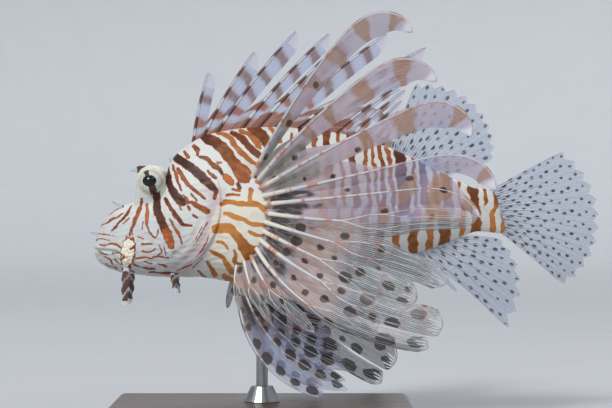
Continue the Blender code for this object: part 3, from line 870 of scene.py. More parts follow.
HEAD_STRIPES = tuple(Stripe(*row) for row in (
    (((-63.3, 156.6), (-63, 147.6), (-62.7, 142.2), (-59.7, 134.4), (-56.4, 127.2), (-54.3, 121.2)),
     (4.4, 4.6, 4.8, 5, 5.6, 4.4), (1, 1, 1, 0.75, 0.35, 0.3)),
    (((-71.9, 149.8), (-73.7, 142.8), (-76.6, 135.6), (-79.6, 127.4)), (1, 2.2, 2.2, 1.3), (0.5,)),
    (((-68.8, 147), (-69, 140.4), (-69, 133.8), (-67.2, 129.6), (-64.8, 126.2), (-63, 127.2), (-62.2, 130.9)),
     (0.8, 2.2, 1.7, 1.3, 1.3, 1.1, 0.8)),
    (((-78.4, 145.2), (-80.8, 140.4), (-84.3, 136.8), (-87.2, 133.3), (-90.2, 130.1)),
     (0.7, 1.2, 1.3, 1.3, 1), (0.7,)),
    (((-82.6, 141), (-88.4, 138), (-96.1, 133.3)), (0.5, 1, 0.7), (0.4,)),
    (((-79.6, 138), (-83.1, 134.4)), (0.6, 0.8), (0.3,)),
    (((-71.4, 135.6), (-72, 130.8)), (0.8,)),
    (((-84, 145.4), (-89.6, 141.6), (-93.6, 138.6)), (0.5, 0.9, 0.6), (0.4,)),
    (((-58.3, 149.8), (-54.1, 142.8), (-50.6, 138), (-47, 133.9), (-42.3, 133.3)), (1.4, 2.6, 2.6, 2.2, 1.4),
     (0.65,)),
    (((-55.3, 137.4), (-52.4, 132.1), (-50, 128.5), (-48.2, 122.6)), (0.8, 1.7, 1.6, 1), (0.25,)),
    (((-57.1, 167.6), (-56.1, 163.2), (-55.5, 158.2), (-52.9, 152.8), (-49.5, 148.8), (-46.8, 147)),
     (2.4, 3, 3.6, 4.8, 5.4, 3.6), (1,)),
    (((-45.6, 147), (-42.6, 147.6), (-40.2, 146.1), (-36.6, 144), (-33, 142.2)), (2, 1.6, 2.6, 3.4, 3.6),
     (0.5, 0.4)),
    (((-52.9, 175.5), (-49.2, 172.8), (-43.5, 168.8), (-37.6, 164), (-32.8, 159.3), (-29.3, 156),
     (-27.3, 153.6), (-28.5, 150)), (3.6, 4.6, 4.9, 5.2, 5, 3.8, 2.4, 1.6), (1, 1, 1, 1, 0.8, 0.5)),
    (((-50.4, 167.6), (-47, 161.7), (-43.5, 157), (-38.8, 153.4), (-34, 149.7)), (1.4, 2.4, 2.2, 1.9, 1.2),
     (0.45,)),
    (((-53.5, 169.4), (-51.2, 162.8), (-50, 158.2), (-48.2, 154.6)), (0.9, 1.2, 1, 0.7), (0.5,)),
    (((-42.3, 152.4), (-39, 148.2)), (1,), (0.3,)),
    (((-47.6, 151.6), (-44.6, 149.4)), (0.9,), (0.4,)),
    (((-37.2, 174.6), (-33, 173.4), (-29.4, 169.8), (-25.8, 167.4), (-24, 164.4)), (1.4, 2, 2.6, 2.6, 1.4),
     (0.75,)),
    (((-32.4, 166.2), (-29.4, 163.2), (-27.6, 161.7)), (1, 1.6, 0.8), (0.6,)),
    (((-40.8, 181.2), (-39, 178.8), (-38.4, 176.4)), (1.6, 2.6, 1.4), (0.5,)),
    (((-46.6, 177.6), (-44.2, 174.6)), (0.9, 1.6), (0.4,)),
    (((-26.8, 171.6), (-25.2, 171.4)), (1.1,)),
    (((-71.9, 122.3), (-66, 122.3)), (1.1,)),
    (((-71.9, 117.9), (-67.2, 117.9), (-64.2, 119.4)), (1.1,)),
    (((-75.4, 113.8), (-70.2, 114.3), (-66, 114)), (1.2,)),
    (((-66, 114.4), (-61.2, 114.6), (-55.9, 114.4)), (1.3, 1)),
    (((-61.8, 121.4), (-60, 118.2), (-62.4, 115.5)), (0.9,)),
    (((-58.8, 121.2), (-57.9, 115.8)), (0.8,)),
    (((-74.4, 126.6), (-71.4, 125.4)), (1,)),
    (((-70.8, 111.6), (-66, 110.7)), (1,), (0.4,)),
    (((-62.4, 110.4), (-57.6, 109.2)), (1.1,), (0.5,)),
    (((-76.8, 110.4), (-71.4, 108.3), (-64.2, 107.4)), (1.1,), (0.6,)),
    (((-67.2, 105.6), (-58.2, 105), (-49.2, 105.3)), (1, 1.6, 1), (0.7,)),
    (((-84, 108.6), (-77, 105.6)), (0.8, 1.2), (0.6,)),
    (((-44.4, 144.6), (-43.2, 142.8)), (1.2,), (0.4,)),
    (((-41.4, 139.8), (-39, 138)), (1.4,), (0.4,)),
    (((-50.4, 147), (-48.6, 143.4)), (0.8,)),
    (((-32.8, 135.6), (-37.2, 127.2), (-42, 120.6)), (0.5, 0.9, 0.5)),
    (((-35.4, 133.2), (-39.6, 126), (-43.8, 120.6)), (0.4, 0.8, 0.4)),
    (((-31.8, 127.8), (-34.8, 120.6), (-39.6, 114.6)), (0.4, 0.9, 0.4)),
    (((-42.3, 111), (-46.8, 108.6), (-51.6, 106.8)), (0.6, 1.1, 0.6), (0.3,)),
    (((-36, 113.4), (-41.4, 108)), (0.5, 0.9), (0.3,)),
    (((-98.9, 128.8), (-94.2, 128.2), (-87.6, 126.8)), (0.8, 1.1, 0.6), (0.4,)),
    (((-97.6, 122.5), (-94.6, 121.4), (-90.2, 122.8), (-84.8, 120.5)), (0.8, 1.4, 1.2), (0.3,)),
    (((-89.5, 116.8), (-85.6, 117.1)), (1.2,)),
    (((-95.4, 115.2), (-91.5, 113.4), (-89.2, 110.4)), (0.8, 1.4, 0.9), (0.4,)),
    (((-88.6, 113.4), (-86.2, 110.8)), (0.9,), (0.3,)),
    (((-98.4, 118), (-95.6, 117.4), (-92.6, 116.2)), (0.6, 1, 0.6), (0.4,)),
    (((-93.8, 110.8), (-90.6, 109), (-86.6, 107.6)), (0.5, 0.9, 0.6), (0.4,)),
    (((-100, 124.2), (-96.6, 125.4), (-91.2, 124.6)), (0.4, 0.8, 0.5), (0.3,)),
    (((-54, 116.4), (-51.6, 118.8)), (0.7,)),
))

BACK_STRIPES = tuple(Stripe(*row) for row in (
    (((-36.6, 190), (-33, 186), (-26.4, 182.4), (-21.6, 177.3), (-18, 172.5), (-14.4, 168), (-11.1, 164.1),
     (-10.4, 161.6)), (5, 5.6, 6.6, 6.6, 6, 7.4, 9.6, 5), (1, 0.9, 0.75, 0.65, 0.55, 0.4)),
    (((-27, 189), (-21.6, 187.8), (-18, 184.2), (-14.4, 179.4), (-10.8, 175.8), (-6.6, 172.2), (-3.6, 170.4)),
     (1.2, 2, 2.8, 2.8, 2.4, 2.2, 1.2), (0.3,)),
    (((-18, 189), (-13.2, 186.6), (-9.6, 183), (-6, 178.8), (-2.4, 175.8), (0.6, 174)),
     (2.2, 3.6, 3.8, 3.4, 3.6, 3.2), (0.9,)),
    (((-13.2, 190.2), (-8.4, 188.4), (-4.8, 185.4), (-2.4, 181.8), (-1.2, 180)), (1.2, 2.4, 2.6, 2.6, 1.2),
     (0.35,)),
    (((-7.2, 192.6), (-2.4, 189.6), (1.2, 186), (3, 182.4)), (4, 6, 6.4, 4), (0.8,)),
    (((4.8, 192), (8.4, 187.8), (10.8, 184.2)), (1.6, 2.2), (0.3,)),
    (((-21.6, 162.6), (-18.6, 159.6)), (3.6,), (0.1,)),
    (((-18, 155.1), (-13.2, 154.5)), (1.2,), (0.4,)),
    (((-14.4, 158.4), (-13.2, 156)), (2,), (0.6,)),
))

CHEST_STRIPES = tuple(Stripe(*row) for row in (
    (((-24.6, 145.8), (-22.8, 147.3), (-18, 147.6), (-13.2, 146.7), (-8.4, 146.4), (-3.6, 146.4), (0, 144.3),
     (3, 141), (6, 136.8), (10.2, 131.4), (13.2, 129.6)),
     (1.4, 2.4, 2.4, 2.2, 2.6, 2.6, 2.2, 2.4, 2.6, 2.2, 1.6), (0.35, 0.2)),
    (((-6.6, 154.8), (-7.2, 151.2), (-7.2, 147.6)), (2.4,), (0.1,)),
    (((-21.6, 151.5), (-18, 152.1), (-13.8, 151.8)), (0.9,), (0.4,)),
    (((-22.8, 141), (-19.2, 139.8), (-14.4, 138), (-10.8, 136.8), (-7.2, 134.7), (-1.2, 133.8), (4.8, 133.5)),
     (1.2, 1.9, 1.9, 2.1, 1.9, 1.9, 1.5), (0, 0, 0.3)),
    (((-27.6, 131.4), (-24, 132), (-19.8, 131.7), (-16.2, 128.4), (-12.6, 123.6), (-9, 118.2), (-6, 114),
     (-3, 110.4)), (5, 5.4, 5, 4.4, 5.2, 7.6, 8.4, 4), (0.2, 0.1, 0.1, 0.3, 0.6, 0.7, 0.7, 0.7)),
    (((-9, 121.2), (-2.4, 118.2), (3.6, 115.5), (6, 116.4)), (3, 5, 4.6, 2), (0.65,)),
    (((-8.4, 130.2), (-3.6, 127.8), (1.2, 127.2), (6, 125.4), (11.4, 123.6), (13.8, 123)),
     (0.8, 1.6, 1.2, 1.8, 2.8, 2), (0.3,)),
    (((0, 123), (3, 121.8)), (1.2,)),
    (((-27, 123.6), (-23.4, 123), (-20.4, 119.4)), (1, 1.5, 0.9), (0,)),
    (((-31.2, 118.2), (-27.6, 116.4), (-23.4, 114), (-20.4, 109.2), (-18, 105.6)), (1.6, 2.4, 2.6, 3, 3.2),
     (0.5, 0.6, 0.4, 0.1, 0)),
    (((-33, 111.6), (-30.6, 108), (-28.2, 103.8)), (1.6, 2.2, 2.6), (0.1,)),
    (((-16.8, 118.8), (-15.6, 115.2), (-16.8, 111.6), (-14.4, 110.4)), (1.2, 1.9, 2.2, 2.4), (0.6,)),
    (((-12.6, 110.4), (-11.4, 108)), (1.8,), (0.7,)),
    (((-22.8, 103.2), (-18, 100.2)), (2.6,), (0.1,)),
    (((-38, 106), (-34, 102)), (1.8,), (0.2,)),
))

UPPER_BARS = (
    (-3, 3), (4, 2.6), (11, 5), (18.5, 2.4), (25.5, 5.2), (33, 2.6), (40, 4.6), (47.5, 2.4), (54.9, 4.6),
    (62.4, 2.6), (66.9, 2), (71.7, 3.2), (76.8, 2.6), (83.2, 6.4), (90.4, 2.2), (96, 5), (103, 2.5),
    (109.5, 5.8), (117, 2.4), (125, 5.4), (131.4, 2.6), (138.6, 3.6), (144.2, 2.6),
)
LOWER_BARS = (
    (-4, 3.2), (4, 4), (11.5, 2.8), (18.5, 4.8), (27, 3), (36, 4.4), (45, 3), (53.2, 3.2), (61.2, 5),
    (70.8, 6), (80.4, 4.4), (90.6, 6.4), (100.8, 4.2), (109, 7), (119.6, 3.2), (127.8, 6), (137.2, 3),
    (143.8, 3.2),
)


@dataclass
class Skin:
    """The one skin over head, jaw, trunk and tail."""

    form: BodyForm
    view: View
    head_pitch: float = 0.42
    body_pitch: float = 0.8
    head_until: float = -18.0
    ring_points: int = 360
    readings: int = 6001
    eye_open: float = 6.7
    mouth: tuple[Pair, ...] = ((-104.0, 119.5), (-92.0, 118.4), (-86.0, 117.0), (-81.5, 114.0))
    maxilla: tuple[float, float, float, float] = (-80.4, 117.2, 4.3, 9.6)
    nostril: Pair = (-82.5, 141.5)
    pores: Pair = (-54.6, 117.0)
    cheek_fold: tuple[Pair, ...] = ((-72, 131), (-62, 126.5), (-53, 121), (-47, 116))
    chest: tuple[float, float, float, float] = (-8, 124, 28, 34)

    def _places(self) -> Array:
        """Places of the rings along the body, closer together on the head."""
        fine = np.linspace(0, len(self.form.stations) - 1, self.readings)
        x, back, _, _, breadth = self.form.column(fine)
        length = np.hypot(np.hypot(np.gradient(x), np.gradient(back)), np.gradient(breadth))
        pitch = np.where(x < self.head_until, self.head_pitch, self.body_pitch)
        rings = np.cumsum(length / pitch)
        return np.interp(np.linspace(rings[0], rings[-1], int(rings[-1])), rings, fine)

    def _gap_to(self, x: Array, z: Array, line: Sequence[Pair]) -> Array:
        """Distance from points to a line seen from the side."""
        depth = np.full(x.size, -99.0)
        Stripe(tuple(line), (0.0,)).paint(x.ravel(), z.ravel(), depth, reach=30.0)
        return -depth.reshape(x.shape)

    def _in_cover(self, x: Array, z: Array) -> Array:
        """Depth inside the edge of the gill cover."""
        gill_x, gill_z, gill_radius = self.form.gill
        return gill_radius - np.hypot(x - gill_x, z - gill_z)

    def _eye_relief(self, points: Array, out: Array, x: Array, z: Array) -> Array:
        """The lids round each eye, and the hollow in the skin that the eyeball fills."""
        eye_x, _, eye_z = self.form.eye
        off_eye = np.hypot(points[..., 0] - eye_x, points[..., 2] - eye_z)
        lid = 0.55 * ridge(off_eye, 7.9, 0.75) * (1 + 0.5 * ripple(x, z, 1.1, 0.3))
        hollow = 2.4 * (1 - smooth(off_eye, self.eye_open - 0.5, self.eye_open + 0.5))
        return smooth(out, 9, 13) * (lid - hollow)

    def _gill_relief(self, out: Array, x: Array, z: Array) -> Array:
        """The gill cover's raised edge, the groove behind it and the folds in front of it."""
        cover = self._in_cover(x, z)
        here = smooth(x, -62, -46) * smooth(-z, -166, -156) * smooth(out, 2, 8)
        lip = 1.1 * np.exp(-np.maximum(cover, 0) / 5) * smooth(cover, -0.35, 0.35)
        groove = -0.9 * np.exp(np.minimum(cover, 0) / 2.2) * smooth(-cover, -0.35, 0.35)
        folds = 0.22 * np.sin(cover * 1.05) * smooth(cover, 1, 4)
        folds = folds * (1 - smooth(cover, 11, 16)) * smooth(-z, -150, -136)
        return here * (lip + groove + folds)

    def _face_relief(self, x: Array, z: Array) -> Array:
        """The mouth's slit and lips, the jaw's end plate, nostril, pad of pores and the cheek's fold."""
        mouth = self._gap_to(x, z, self.mouth)
        lips = 0.5 * ridge(mouth, 1.7, 1) * (x < -80) - 1.3 * ridge(mouth, 0, 0.55)
        plate = (0.9 + 0.35 * ripple(x, z, 0.9, 2.2)) * (1 - smooth(self._plate(x, z), 0.82, 1.06))
        nostril = 0.8 * ridge(np.hypot(x - self.nostril[0], z - self.nostril[1]), 0, 0.8)
        pores = 0.5 * ridge(np.hypot(x - self.pores[0], z - self.pores[1]), 0, 1.9)
        fold = 0.45 * ridge(self._gap_to(x, z, self.cheek_fold), 0, 1.2)
        return lips + plate - nostril + pores * (1 + ripple(x, z, 0.8, 4)) + fold

    def _relief(self, points: Array, side: Array, x: Array, z: Array) -> Array:
        """How far each point stands out of the plain form; x and z are where it shows on the middle plane."""
        out = side * points[..., 1]
        ridges = 0.16 * ripple(x * 0.6, z * 1.6, 2.4, 0.9) * (x < -20)
        muscle = 0.14 * np.sin((x - 0.35 * np.abs(z - 146)) / 2.3) * smooth(x, -5, 20) * smooth(out, 0, 6)
        parts = self._eye_relief(points, out, x, z) + self._gill_relief(out, x, z) + self._face_relief(x, z)
        return parts + ridges + muscle + 0.09 * ripple(x, z, 3.7, 5)

    def _bars(self, x: Array, bars: Sequence[Pair]) -> tuple[Array, Array]:
        """Depth inside the upright bars of the flank, and their tones."""
        depth, tone = np.full(x.shape, -9.0), np.zeros(x.shape)
        for middle, width in bars:
            inside = width / 2 - np.abs(x - middle)
            tone = np.where(inside > depth, 0.16 * width - 0.3, tone)
            depth = np.maximum(depth, inside)
        return depth, tone

    def _plate(self, x: Array, z: Array) -> Array:
        """Distance from the middle of the jaw's end plate, 1 on its ragged edge."""
        u = (x - self.maxilla[0]) / self.maxilla[2] - 0.3 * (z - self.maxilla[1]) / self.maxilla[3]
        return np.hypot(u, (z - self.maxilla[1]) / self.maxilla[3]) + 0.12 * ripple(x, z, 1.6, 1.2)

    def _flank(self, side: Array, x: Array, z: Array) -> tuple[Array, Array]:
        """Depth in the flank's bars and their tones: one set above, another below, blended between."""
        uneven = np.where(side > 0, 2.4, 0.0)
        lean = x + 0.9 * ripple(x, z, 8, 0.7 + uneven) + 0.5 * ripple(x, z, 3, 2 + uneven)
        high, high_tone = self._bars(lean + 0.10 * (z - 170), UPPER_BARS)
        low, low_tone = self._bars(lean - 0.08 * (z - 125), LOWER_BARS)
        level = smooth(z + 4 * ripple(x, z, 12, 2.5 + uneven), 136, 150)
        tone = (high_tone + 0.35) * level + low_tone * (1 - level)
        behind = smooth(self.form.off_lobe(x, z), 1, 1.12)
        behind = behind * smooth(x - 0.5 * np.maximum(z - 148, 0), -8, -2)
        return high * level + low * (1 - level) - 8 * (1 - behind), tone

    def _brow(self, points: Array, x: Array, z: Array) -> Array:
        """Depth inside the bars that cross the inner sides of the eye turrets and the brow between them."""
        y = np.abs(points[..., 1])
        inner = (1 - smooth(y, 7.5, 10)) * smooth(z, 146, 150) * (1 - smooth(x, -62, -57))
        wave = np.cos(2 * math.pi * (z + 0.5 * y + 0.9 * ripple(x, y, 3, 1)) / 6.4)
        return (wave - 0.25) * inner - 3 * (1 - inner)

    def _stripes(self, side: Array, x: Array, z: Array) -> tuple[Array, Array]:
        """Depth in the stripes of head, back and chest, which stop at the fin's root, and their tones."""
        other = side > 0
        wavy_x = x + 0.3 * ripple(x, z, 2.6, 0.4) + 0.9 * other * ripple(x, z, 9, 3)
        wavy_z = z + 0.3 * ripple(x, z, 2.9, 1.9) + 0.9 * other * ripple(x, z, 11, 1)
        mark, tone = np.full(x.size, OUTSIDE), np.zeros(x.size)
        for stripe in HEAD_STRIPES + BACK_STRIPES + CHEST_STRIPES:
            stripe.paint(wavy_x.ravel(), wavy_z.ravel(), mark, tone)
        wider = 0.16 * smooth(z, 128, 140) + 0.22 * smooth(z, 150, 165)
        wider = wider + 0.3 * smooth(x, -34, -24) * (1 - smooth(z, 146, 156))
        past = smooth(self.form.off_lobe(x, z), 1.03, 1.1) * smooth(x, -14, -8) * (1 - smooth(z, 146, 152))
        return mark.reshape(x.shape) + wider - 9 * past, tone.reshape(x.shape)

    def _tints(self, x: Array, z: Array) -> tuple[Array, Array, Array]:
        """How golden the stripes are, how grey the gill cover is, and where the chest is."""
        chest_x, chest_z, half_x, half_z = self.chest
        chest = 1 - smooth(np.hypot((x - chest_x) / half_x, (z - chest_z) / half_z), 0.75, 1)
        chest = chest * smooth(x, -44, -26)
        gold = np.maximum(chest, 0.7 * smooth(x, 2, 14) * (1 - 0.8 * smooth(z, 140, 165)))
        gold = np.maximum(gold, 0.35 * smooth(x, -40, -22) * smooth(z, 160, 172) * (x < 12))
        gill = ridge(self._in_cover(x, z), 3, 5.5) * smooth(x, -56, -40) * (1 - smooth(z, 152, 162))
        return gold, gill, chest

    def _markings(self, points: Array, side: Array, x: Array, z: Array) -> dict[str, Array]:
        """The patterns of the skin.

        Args:
            points: its points.
            side: the sign of each point's side.
            x: first coordinate where each shows on the middle plane.
            z: second coordinate there.

        Returns:
            Stripes, their tone and goldness, grey gill cover, painted shade on the lower front of the head,
            and cream parts.
        """
        mark, tone = self._stripes(side, x, z)
        for depth, own in (self._flank(side, x, z), (self._brow(points, x, z), 0.7)):
            tone = np.where(depth > mark, own, tone)
            mark = np.maximum(mark, depth)
        gold, gill, chest = self._tints(x, z)
        # Painted shade: greyer below the eye and towards the snout.
        lower_head_shade = 0.55 * (1 - smooth(x, -52, -36)) * (1 - smooth(z, 132, 146))
        plate = self._plate(x, z)
        rim = 0.42 - np.abs(plate - 1) * 4
        mark = np.where(plate < 1.15, np.maximum(rim, 0.8 * ripple(x, z, 2.4, 6) - 0.5), mark)
        tone = np.where(plate < 1.15, 0.35, tone)
        eye_x, _, eye_z = self.form.eye
        ring = ridge(np.hypot(x - eye_x, z - eye_z), 8.2, 2.2)
        cream = np.maximum(1 - smooth(plate, 0.85, 1.05), 0.6 * smooth(chest, 0.1, 0.7))
        return {
            "mark": mark,
            "tone": tone,
            "gold": gold,
            "gill": gill,
            # The painted shade on the lower head stays off the jaw's end plate.
            "lower_head_shade": lower_head_shade * (1 - smooth(1.2 - plate, 0, 0.2)),
            "cream": np.maximum(cream, 0.25 * ring),
        }

    def build(self, finish: Material) -> None:
        """Makes the skin in place of the four solids of flesh."""
        places = self._places()
        angles = 2 * math.pi * (np.arange(self.ring_points) + 0.5) / self.ring_points
        place, angle = np.meshgrid(places, angles, indexing="ij")
        points = self.form.skin(place, angle)
        side = np.where(np.cos(angle) < 0, -1.0, 1.0)
        around = np.roll(points, -1, axis=1) - np.roll(points, 1, axis=1)
        outward = unit(np.cross(around, np.gradient(points, axis=0)))
        centre = points.mean(axis=1, keepdims=True)
        outward = outward * np.sign(np.sum(outward * (points - centre), axis=-1).mean())
        x, z = self.view.seen(points, side)
        points[1:-1] += (outward * self._relief(points, side, x, z)[..., None])[1:-1]
        end = np.broadcast_to(points[-1].mean(axis=0), (1, *points.shape[1:]))
        markings = self._markings(points, side, x, z)
        patterns = {name: np.concatenate([rows, rows[-1:]]) for name, rows in markings.items()}
        work = Patchwork(tuple(patterns))
        work.add(np.concatenate([points, end]), closed=True, **patterns)
        place_piece(work.build("skin", finish), "striped_skin", ("head", "lower_jaw", "trunk", "tail"))


@dataclass
class Eye:
    """One eyeball with its bulging pupil."""

    form: BodyForm
    side: Side
    pupil: tuple[float, float, float, float] = (-65.9, 160.1, 4.1, 3.4)
    bulge: float = 0.55
    clearance: float = 0.02
    rings: int = 96
    spokes: int = 144
    streaks: tuple[Stripe, ...] = (
        Stripe(((-64.9, 158.6), (-63.9, 155), (-63.3, 151)), (3.4, 4.4, 4.6)),
        Stripe(((-66.9, 162.2), (-67.6, 164.4), (-68.6, 167)), (2.2, 2.8, 3.4)),
    )

    def build(self, finish: Material) -> None:
        """Makes the eyeball in its CAD place."""
        sign, radius = self.side.value, self.form.eye_radius - self.clearance
        polar = np.linspace(0, math.pi, self.rings)
        spin = 2 * math.pi * np.arange(self.spokes) / self.spokes
        down, turn = np.meshgrid(polar, spin, indexing="ij")
        x = self.form.eye[0] + radius * np.sin(down) * np.cos(turn)
        z = self.form.eye[2] + radius * np.sin(down) * np.sin(turn)
        y = radius * np.cos(down)
        front = y > 0
        centre_x, centre_z, half_x, half_z = self.pupil
        gap = np.hypot((x - centre_x) / half_x, (z - centre_z) / half_z)
        pupil = np.where(front, (1 - gap) * half_z, OUTSIDE)
        y = y + np.where(front, self.bulge * (1 - smooth(gap, 0.2, 1.05)), 0)
        streak = np.full(x.size, OUTSIDE)
        for line in self.streaks:
            line.paint(x.ravel(), z.ravel(), streak)
        off = np.hypot(x - self.form.eye[0], z - self.form.eye[2])
        centre_y = sign * (self.form.eye[1] + self.form.eye_proud)
        work = Patchwork(("pupil", "streak", "rim"))
        points = np.stack([x, centre_y + sign * y, z], axis=-1)
        rim = (ridge(off, 6.4, 0.8) + 0.6 * ridge(gap, 1.12, 0.12)) * front
        work.add(points, closed=True, pupil=pupil, streak=streak.reshape(x.shape), rim=rim)
        node = "eye_" + self.side.word
        place_piece(work.build(node + "_ball", finish), "eye", (node,))


@dataclass(frozen=True)
class RayShape:
    """How fin rays run: depth in the flesh, where the tip's curl starts and how sharply."""

    sunk: float = 2.2
    curl_from: float = 0.66
    curl_power: float = 2.0
    least_width: float = 0.35
    room: float = 0.9

    def path(
        self,
        root: Sequence[float],
        length: float,
        start: float,
        bend: float,
        curl: float = 0.0,
        flare: Sequence[float] = (0.0, 0.0),
        sign: int = 1,
        steps: int = 120,
    ) -> Array:
        """Points along a ray from inside the skin to its tip.

        Args:
            root: where it leaves the skin.
            length: its length outside.
            start: first angle above level, in degrees.
            bend: how much that turns along it.
            curl: how much more it turns near the tip.
            flare: first and last angle out from the body.
            sign: the sign of the fish's side.
            steps: how many steps to take.

        Returns:
            steps + 1 points.
        """
        share = np.linspace(0, 1, steps + 1)
        middle = (share[1:] + share[:-1]) / 2
        turned = np.maximum(0.0, (middle - self.curl_from) / (1 - self.curl_from)) ** self.curl_power
        rise = np.radians(start + bend * middle + curl * turned)
        out = np.radians(flare[0] + (flare[1] - flare[0]) * middle)
        level = np.cos(out)
        heading = np.stack([np.cos(rise) * level, sign * np.sin(out), np.sin(rise) * level], axis=-1)
        first = np.array(root, float) - heading[0] * self.sunk
        moves = heading * (length + self.sunk) / steps
        return np.concatenate([first[None], first + np.cumsum(moves, axis=0)])


@dataclass
class Fan:
    """The surface of a fin: rays, and membrane on both edges of each."""

    paths: Array
    joined: Sequence[float]
    widths: dict[Edge, Sequence[float]]
    taper: Sequence[Pair]
    fade: float = 0.16
    billow: float = 0.0
    shape: RayShape = RayShape()

    def __post_init__(self) -> None:
        """Works out both edges of every ray's membrane."""
        self.steps = self.paths.shape[1] - 1
        self.shares = np.linspace(0, 1, self.steps + 1)
        self.along = unit(np.gradient(self.paths, axis=1))
        self.lengths = np.linalg.norm(np.diff(self.paths, axis=1), axis=2).sum(axis=1)
        self.edges = {(ray, edge): self._edge(ray, edge) for ray in range(len(self.paths)) for edge in Edge}

    def towards(self, ray: int, neighbour: int) -> Array:
        """Directions in the fin's surface from one ray towards another; a curled tip stays flat."""
        across = self.paths[neighbour] - self.paths[ray]
        normal = np.cross(self.along[ray], across)
        curled = self.shares > self.shape.curl_from
        normal[curled] = normal[~curled][-1]
        return unit(np.cross(normal, self.along[ray]))

    def _edge(self, ray: int, edge: Edge) -> tuple[Array, Array]:
        """The membrane's edge on one side of a ray, and which way it billows."""
        here, neighbour = self.paths[ray], ray + edge.value
        full, gone = self.taper[ray]
        fall = np.sqrt(np.clip((gone - self.shares) / (gone - full), 0, 1))
        width = self.shape.least_width + self.widths[edge][ray] * fall
        if not 0 <= neighbour < len(self.paths):
            inner = self.towards(ray, ray - edge.value)
            return here - inner * width[:, None], np.cross(self.along[ray], inner) * edge.value
        middle = (here + self.paths[neighbour]) / 2
        width = np.minimum(width, self.shape.room * np.linalg.norm(middle - here, axis=1))
        outer = self.towards(ray, neighbour)
        free = here + outer * width[:, None]
        notch = self.joined[min(ray, neighbour)]
        parted = smooth(self.shares, notch, notch + self.fade)[:, None]
        bulge = np.cross(self.along[ray] + self.along[neighbour], outer) * -edge.value
        return middle + (free - middle) * parted, unit(bulge)

    def at(self, ray: int, share: Array | float, across: Array | float) -> Array:
        """Points of the fin.

        Args:
            ray: the ray's number, from 0.
            share: how far along the ray, 0 to 1.
            across: how far across, from -1 on the upper edge to 1 on the lower.

        Returns:
            The points, in the shape of share and across together.
        """
        share, across = np.broadcast_arrays(np.asarray(share, float), np.asarray(across, float))
        place = np.clip(share, 0, 1) * self.steps
        low = np.minimum(place.astype(int), self.steps - 1)
        rest = (place - low)[..., None]

        def read(rows: Array) -> Array:
            """The rows at each place."""
            return rows[low] * (1 - rest) + rows[low + 1] * rest

        here = read(self.paths[ray])
        upper, lower = (tuple(read(rows) for rows in self.edges[ray, edge]) for edge in Edge)
        above = (across < 0)[..., None]
        side, bulge = np.where(above, upper[0], lower[0]), np.where(above, upper[1], lower[1])
        reach = np.abs(across)[..., None]
        return here + (side - here) * reach + bulge * self.billow * reach**2


@dataclass(frozen=True)
class Dot:
    """A mark on a fin: where the camera sees its middle, and its radius."""

    x: float
    z: float
    radius: float


@dataclass(frozen=True)
class Mark:
    """A mark set on a fin: its ray, share and place across, and its radius."""

    ray: int
    share: float
    across: float
    radius: float


